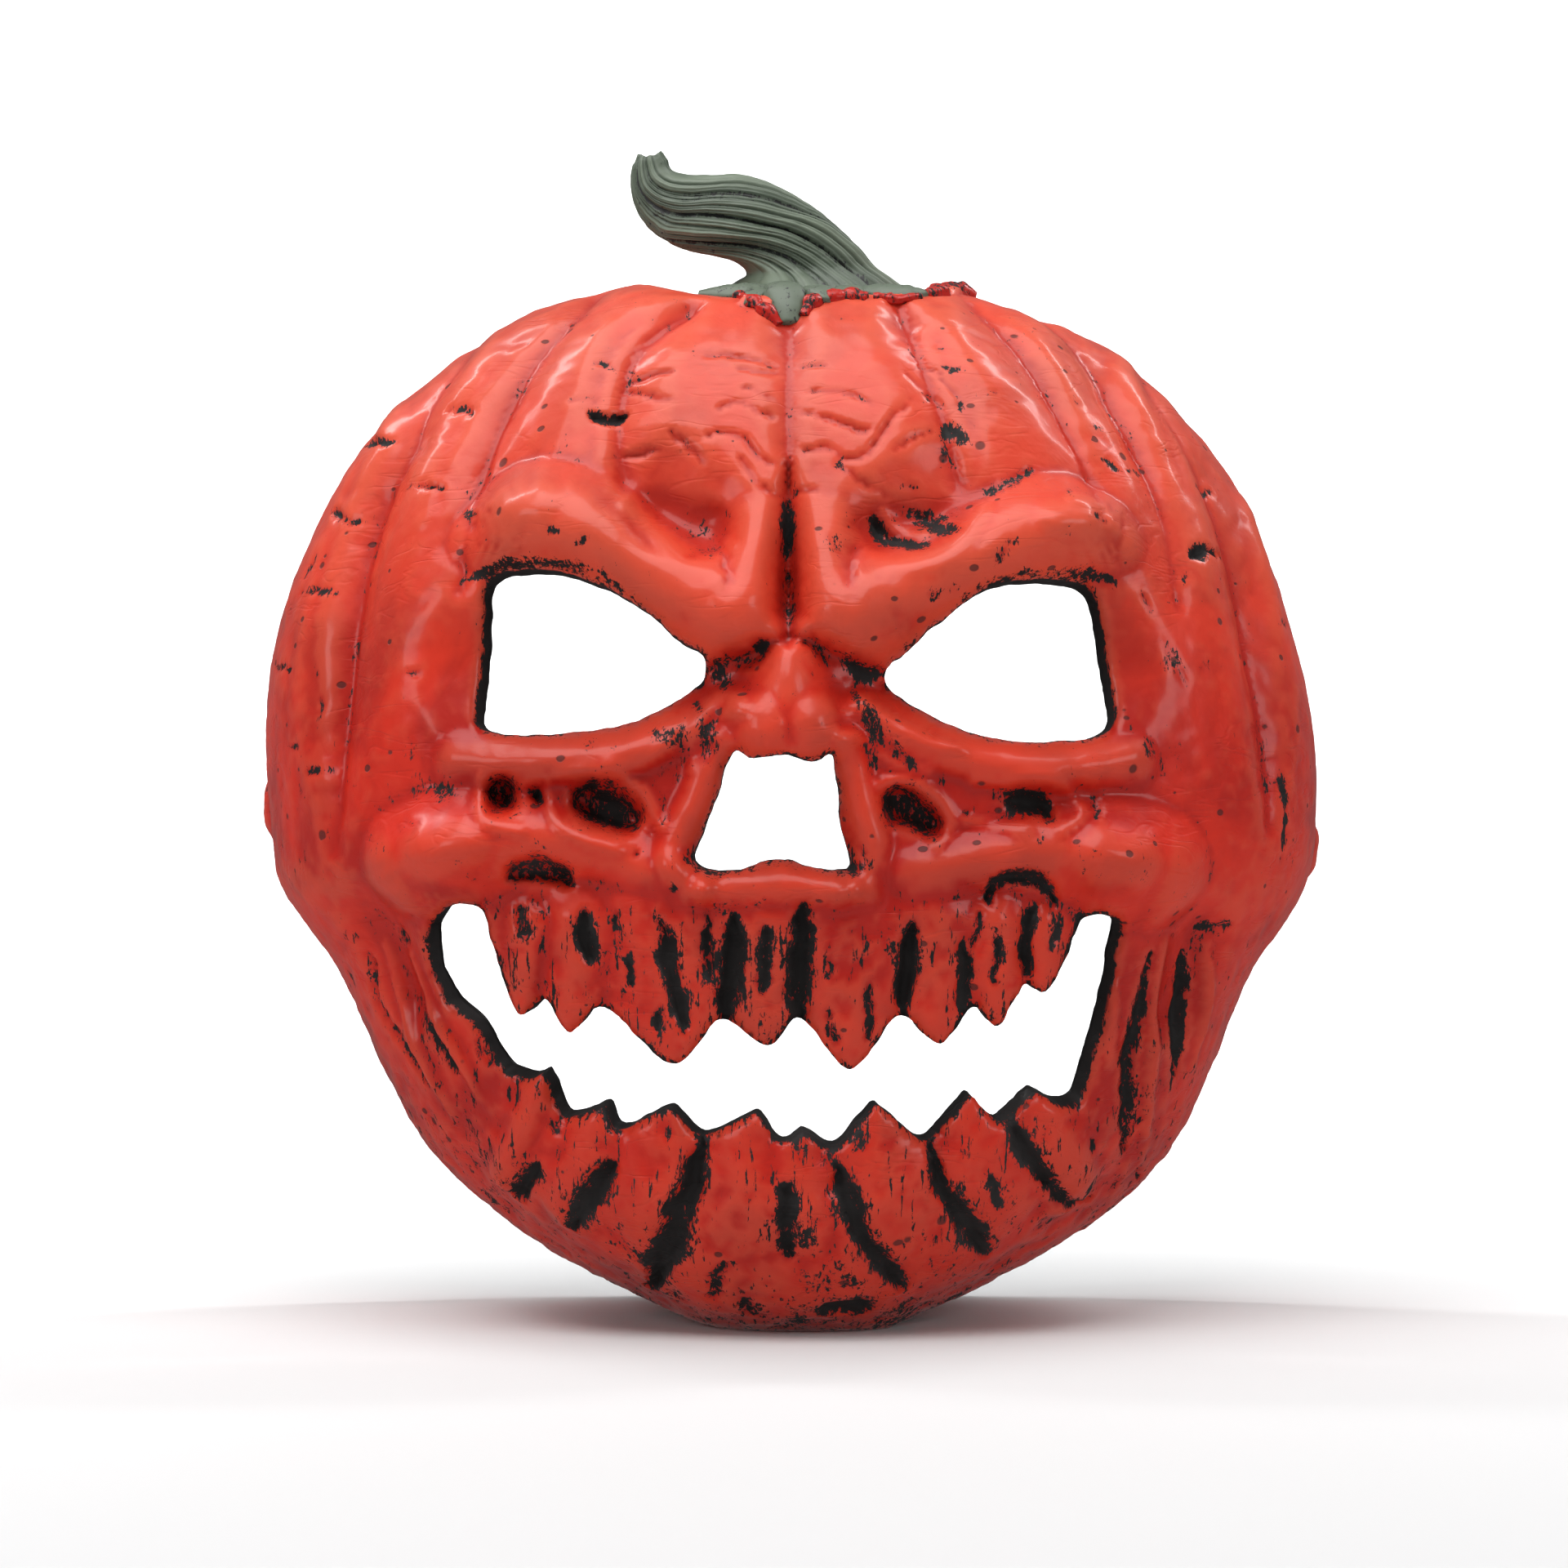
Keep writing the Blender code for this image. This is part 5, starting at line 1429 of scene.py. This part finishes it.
        # Depth of the hollows, which deepens the red there as painted shade and draws the black wash.
        hollow = smoothstep(0.00002, 0.00022, fine) * 0.7 + smoothstep(0.0002, 0.0016, broad) * 0.6
        # Raised places, which the paint turns pale: partly dry brush, partly painted highlight.
        rise = smoothstep(0.00002, 0.00016, -fine) * 0.6 + smoothstep(0.0002, 0.0014, -broad) * 0.5
        masks = {
            "black_and_shade": [black_and_shade, np.zeros(len(inner)), np.ones(len(added))],
            "hollow": [hollow, rest],
            "rise": [rise, rest],
            "worn": [self.worn_places(outer), rest],
            # Painted highlight: the paint turns paler and more orange towards the top of the shell, where the light
            # from above falls.
            "painted_highlight": [0.42 * smoothstep(0.50, 0.90, outer[:, 2] / self.layout.shell_height), rest],
            "inside": [np.zeros(len(outer)), rest + 1],
        }
        runner = Runner(self.layout, self.seat)
        for path in COLLAR:
            crumb, more = runner.lay(sculptor, path, 0.8, 0.45)
            faces += [tuple(v + len(points) for v in face) for face in more]
            points = np.vstack([points, crumb])
            for name, level in (("black_and_shade", 0.30), ("hollow", 1.0), ("rise", 0.0), ("worn", 0.0), ("painted_highlight", 0.0),
                                ("inside", 0.0)):
                masks[name].append(np.full(len(crumb), level))
        shell = mesh_piece("painted_shell", points, faces)
        for name, parts in masks.items():
            give_mask(shell, name, np.concatenate(parts))
        shell.data.materials.append(paint)
        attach(shell, "root")
        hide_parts("face_shell")
        log.info("painted_shell: %d triangles", sum(len(face) - 2 for face in faces))
        return shell


@dataclass
class Stem:
    """The twisted stem: strands that wind up from the crown, a torn tip, and roots over the crown."""

    layout: Layout
    seat: Seat
    rise: float = 0.040
    twist: float = math.radians(110)
    bundles: int = 6
    strands: int = 17
    rings: int = 170
    ring_points: int = 260
    strand_depth: float = 0.13

    def rings_of(self) -> tuple[list[np.ndarray], list[np.ndarray]]:
        """Shapes the rings from the base to the tip, each slung between the stem's two sides.

        Returns:
            The rings' points, and how deep each lies between the strands, from 0 to 1.
        """
        x, y = self.seat.foot
        shares = np.array(STEM_SIDES).reshape(-1, 2, 2) * (self.seat.base_width, self.rise)
        middles, halves = shares.mean(axis=1), (shares[:, 1] - shares[:, 0]) / 2
        path = curve_through(np.hstack([middles, halves]), self.rise * 1.75 / self.rings)
        around = np.linspace(0, 2 * math.pi, self.ring_points, endpoint=False)
        rings, depths = [], []
        for i, (side, up, across, rise) in enumerate(path):
            t = i / (len(path) - 1)
            wound = around + 0.26 * np.sin(2 * around + 1.3) + 0.16 * np.sin(3 * around + 4.0 + 2.6 * t)
            bundle = np.abs(np.cos(self.bundles / 2 * wound + 0.4 * math.sin(2.0 * t)))
            strand = np.abs(np.cos(self.strands / 2 * wound + 0.5 * math.sin(3.0 * t)))
            thread = np.abs(np.cos(self.strands * 1.5 * wound + 0.8))
            swell = 0.7 + 0.3 * np.sin(3 * around + 7.0 * t + 0.6)
            hill = 0.46 * bundle**0.6 + 0.40 * strand**0.6 * swell + 0.14 * thread**0.7
            out = 1 - self.strand_depth * 2 * (0.92 - hill) * (1 + 0.4 * t)
            turn = around - self.twist * t
            back = out * np.sin(turn) * math.hypot(across, rise) * self.seat.depth_share
            ahead = out * np.cos(turn)
            level = self.seat.level(y + back) + self.seat.gap
            rings.append(np.column_stack([x + side + ahead * across, y + back, level + up + ahead * rise]))
            depths.append(1 - hill)
        return rings, depths

    def build(self, paint: bpy.types.Material) -> bpy.types.Object:
        """Builds the stem, stores its paint masks and dresses it.

        Args:
            paint: the green paint.

        Returns:
            The finished piece.
        """
        rings, depths = self.rings_of()
        points, depth = np.vstack(rings), np.concatenate(depths)
        centres = np.repeat([ring.mean(axis=0) for ring in rings], self.ring_points, axis=0)
        away = points - centres
        away /= np.maximum(np.linalg.norm(away, axis=1, keepdims=True), CLOSE)
        lift = roughness_of(points, 0.006, 4, 3.0) * 0.00030
        ring_share = np.repeat(np.linspace(0, 1, len(rings)), self.ring_points)
        torn = roughness_of(points, 0.0025, 2, 8.0) * smoothstep(0.93, 1.0, ring_share)
        lift[:self.ring_points] = 0.0
        points = points + away * lift[:, None] + np.outer(torn, (0.0, 0.0, 0.0011))
        faces, count = [], self.ring_points
        for level in range(len(rings) - 1):
            for i in range(count):
                a, b = level * count + i, level * count + (i + 1) % count
                faces.append((a, b, b + count, a + count))
        base = points[:count].mean(axis=0)
        base[2] = self.seat.level(base[1]) + self.seat.gap
        end = points[-count:].mean(axis=0) - (0.0, 0.0, 0.0010)
        tip, last = len(points), (len(rings) - 1) * count
        faces += [(last + i, last + (i + 1) % count, tip) for i in range(count)]
        faces += [(i, (i + 1) % count, tip + 1) for i in range(count)]
        foot = 0.45 * (1 - smoothstep(0.0, 0.03, ring_share))
        # Painted shade with black wash: the stem turns dark on its underside.
        underside = 0.42 * smoothstep(0.1, 0.9, -away[:, 2]) * smoothstep(0.2, 0.4, ring_share)
        masks = {
            "black_and_shade": [0.50 * smoothstep(0.30, 0.85, depth) + foot + underside, [0.7, 1.0]],
            "hollow": [smoothstep(0.25, 0.8, depth), [0.8, 1.0]],
            "rise": [1 - smoothstep(0.05, 0.45, depth), [0.0, 0.0]],
        }
        points = np.vstack([points, end, base])
        sculptor, runner = Sculptor(self.layout), Runner(self.layout, self.seat)
        for path in STEM_ROOTS:
            added, more = runner.lay(sculptor, path, 0.6, 0.12)
            faces += [tuple(v + len(points) for v in face) for face in more]
            points = np.vstack([points, added])
            masks["black_and_shade"].append(np.full(len(added), 0.18))
            masks["hollow"].append(np.full(len(added), 0.25))
            masks["rise"].append(np.full(len(added), 0.5))
        stem = mesh_piece("twisted_stem", points, faces)
        for name, parts in masks.items():
            give_mask(stem, name, np.concatenate(parts))
        stem.data.materials.append(paint)
        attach(stem, "root")
        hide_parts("stem")
        log.info("twisted_stem: %d triangles", sum(len(face) - 2 for face in faces))
        return stem


@dataclass
class Studio:
    """Pale paper that curves up behind the mask, soft lights, and the camera."""

    layout: Layout
    sensor: float = 36.0
    frame_width: float = 0.3738
    sight_step: float = -8.0
    paper_half: float = 3.0
    paper_back: float = 2.4
    bend: float = 0.9

    def paper(self) -> bpy.types.Object:
        """Builds the floor and backdrop in one curved sheet."""
        turn = np.linspace(0, math.pi / 2, 24)
        curve = [(-2.5, 0.0), *[(self.paper_back + self.bend * math.sin(a), self.bend * (1 - math.cos(a))) for a in turn],
                 (self.paper_back + self.bend, 3.5)]
        points = [(x, y, z) for y, z in curve for x in (-self.paper_half, self.paper_half)]
        faces = [(2 * i, 2 * i + 1, 2 * i + 3, 2 * i + 2) for i in range(len(curve) - 1)]
        mesh = bpy.data.meshes.new("paper")
        mesh.from_pydata(points, [], faces)
        mesh.shade_smooth()
        mesh.materials.append(StudioPaper().material())
        sheet = bpy.data.objects.new("paper", mesh)
        bpy.context.scene.collection.objects.link(sheet)
        sheet.visible_glossy = False
        return sheet

    def light(self, name: str, place: Place, size: float, power: float, aim_at: Place | None = None) -> None:
        """Hangs a soft square light.

        Args:
            name: the light's name.
            place: where it hangs.
            size: length of its side.
            power: its power in watts.
            aim_at: what it faces, or the mask's middle.
        """
        lamp = bpy.data.lights.new(name, "AREA")
        lamp.shape, lamp.size, lamp.energy = "SQUARE", size, power
        hung = bpy.data.objects.new(name, lamp)
        hung.location = place
        aim = Vector(aim_at or (0.0, 0.0, self.layout.middle_z)) - Vector(place)
        hung.rotation_euler = aim.to_track_quat("-Z", "Y").to_euler()
        bpy.context.scene.collection.objects.link(hung)

    def camera(self) -> None:
        """Sets the camera where the picture was taken from."""
        lens = bpy.data.cameras.new("camera")
        lens.sensor_width = self.sensor
        lens.lens = self.sensor * self.layout.sight_distance / self.frame_width
        camera = bpy.data.objects.new("camera", lens)
        outline_y = self.layout.rim_y - 0.025
        camera.location = (self.sight_step * self.layout.step, outline_y - self.layout.sight_distance, self.layout.middle_z)
        camera.rotation_euler = (math.pi / 2, 0.0, 0.0)
        bpy.context.scene.collection.objects.link(camera)
        bpy.context.scene.camera = camera

    def build(self) -> None:
        """Sets the paper, the lights, the sky and the camera."""
        self.paper()
        self.light("top_light", (-0.20, -0.40, 1.50), 1.40, 26.5)
        self.light("left_light", (-1.30, -0.90, 0.70), 0.6, 5.0)
        self.light("right_light", (1.30, -0.80, 0.70), 0.6, 5.0)
        self.light("wall_light_left", (-1.3, 1.0, 1.9), 1.2, 100.0, (-0.6, 3.0, 0.9))
        self.light("wall_light_right", (1.3, 1.0, 1.9), 1.2, 100.0, (0.6, 3.0, 0.9))
        world = bpy.data.worlds.new("studio_air")
        world.use_nodes = True
        world.node_tree.nodes["Background"].inputs["Color"].default_value = (1.0, 1.0, 1.0, 1.0)
        world.node_tree.nodes["Background"].inputs["Strength"].default_value = 0.16
        bpy.context.scene.world = world
        bpy.context.scene.view_settings.view_transform = "Standard"
        self.camera()


def corners(box: tuple) -> list[list[float]]:
    """A box's two corners as plain lists."""
    return [[float(v) for v in corner] for corner in box]


def main() -> None:
    """Builds every piece in order."""
    logging.basicConfig(level=logging.INFO, format="%(name)s %(message)s")
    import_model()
    layout = Layout()
    seat = Seat(layout)
    effects = Effects()
    MaskShell(layout, seat).build(ShellPaint().material(effects))
    Stem(layout, seat).build(StemPaint().material(effects))
    Studio(layout).build()


if __name__ == "__main__":
    main()
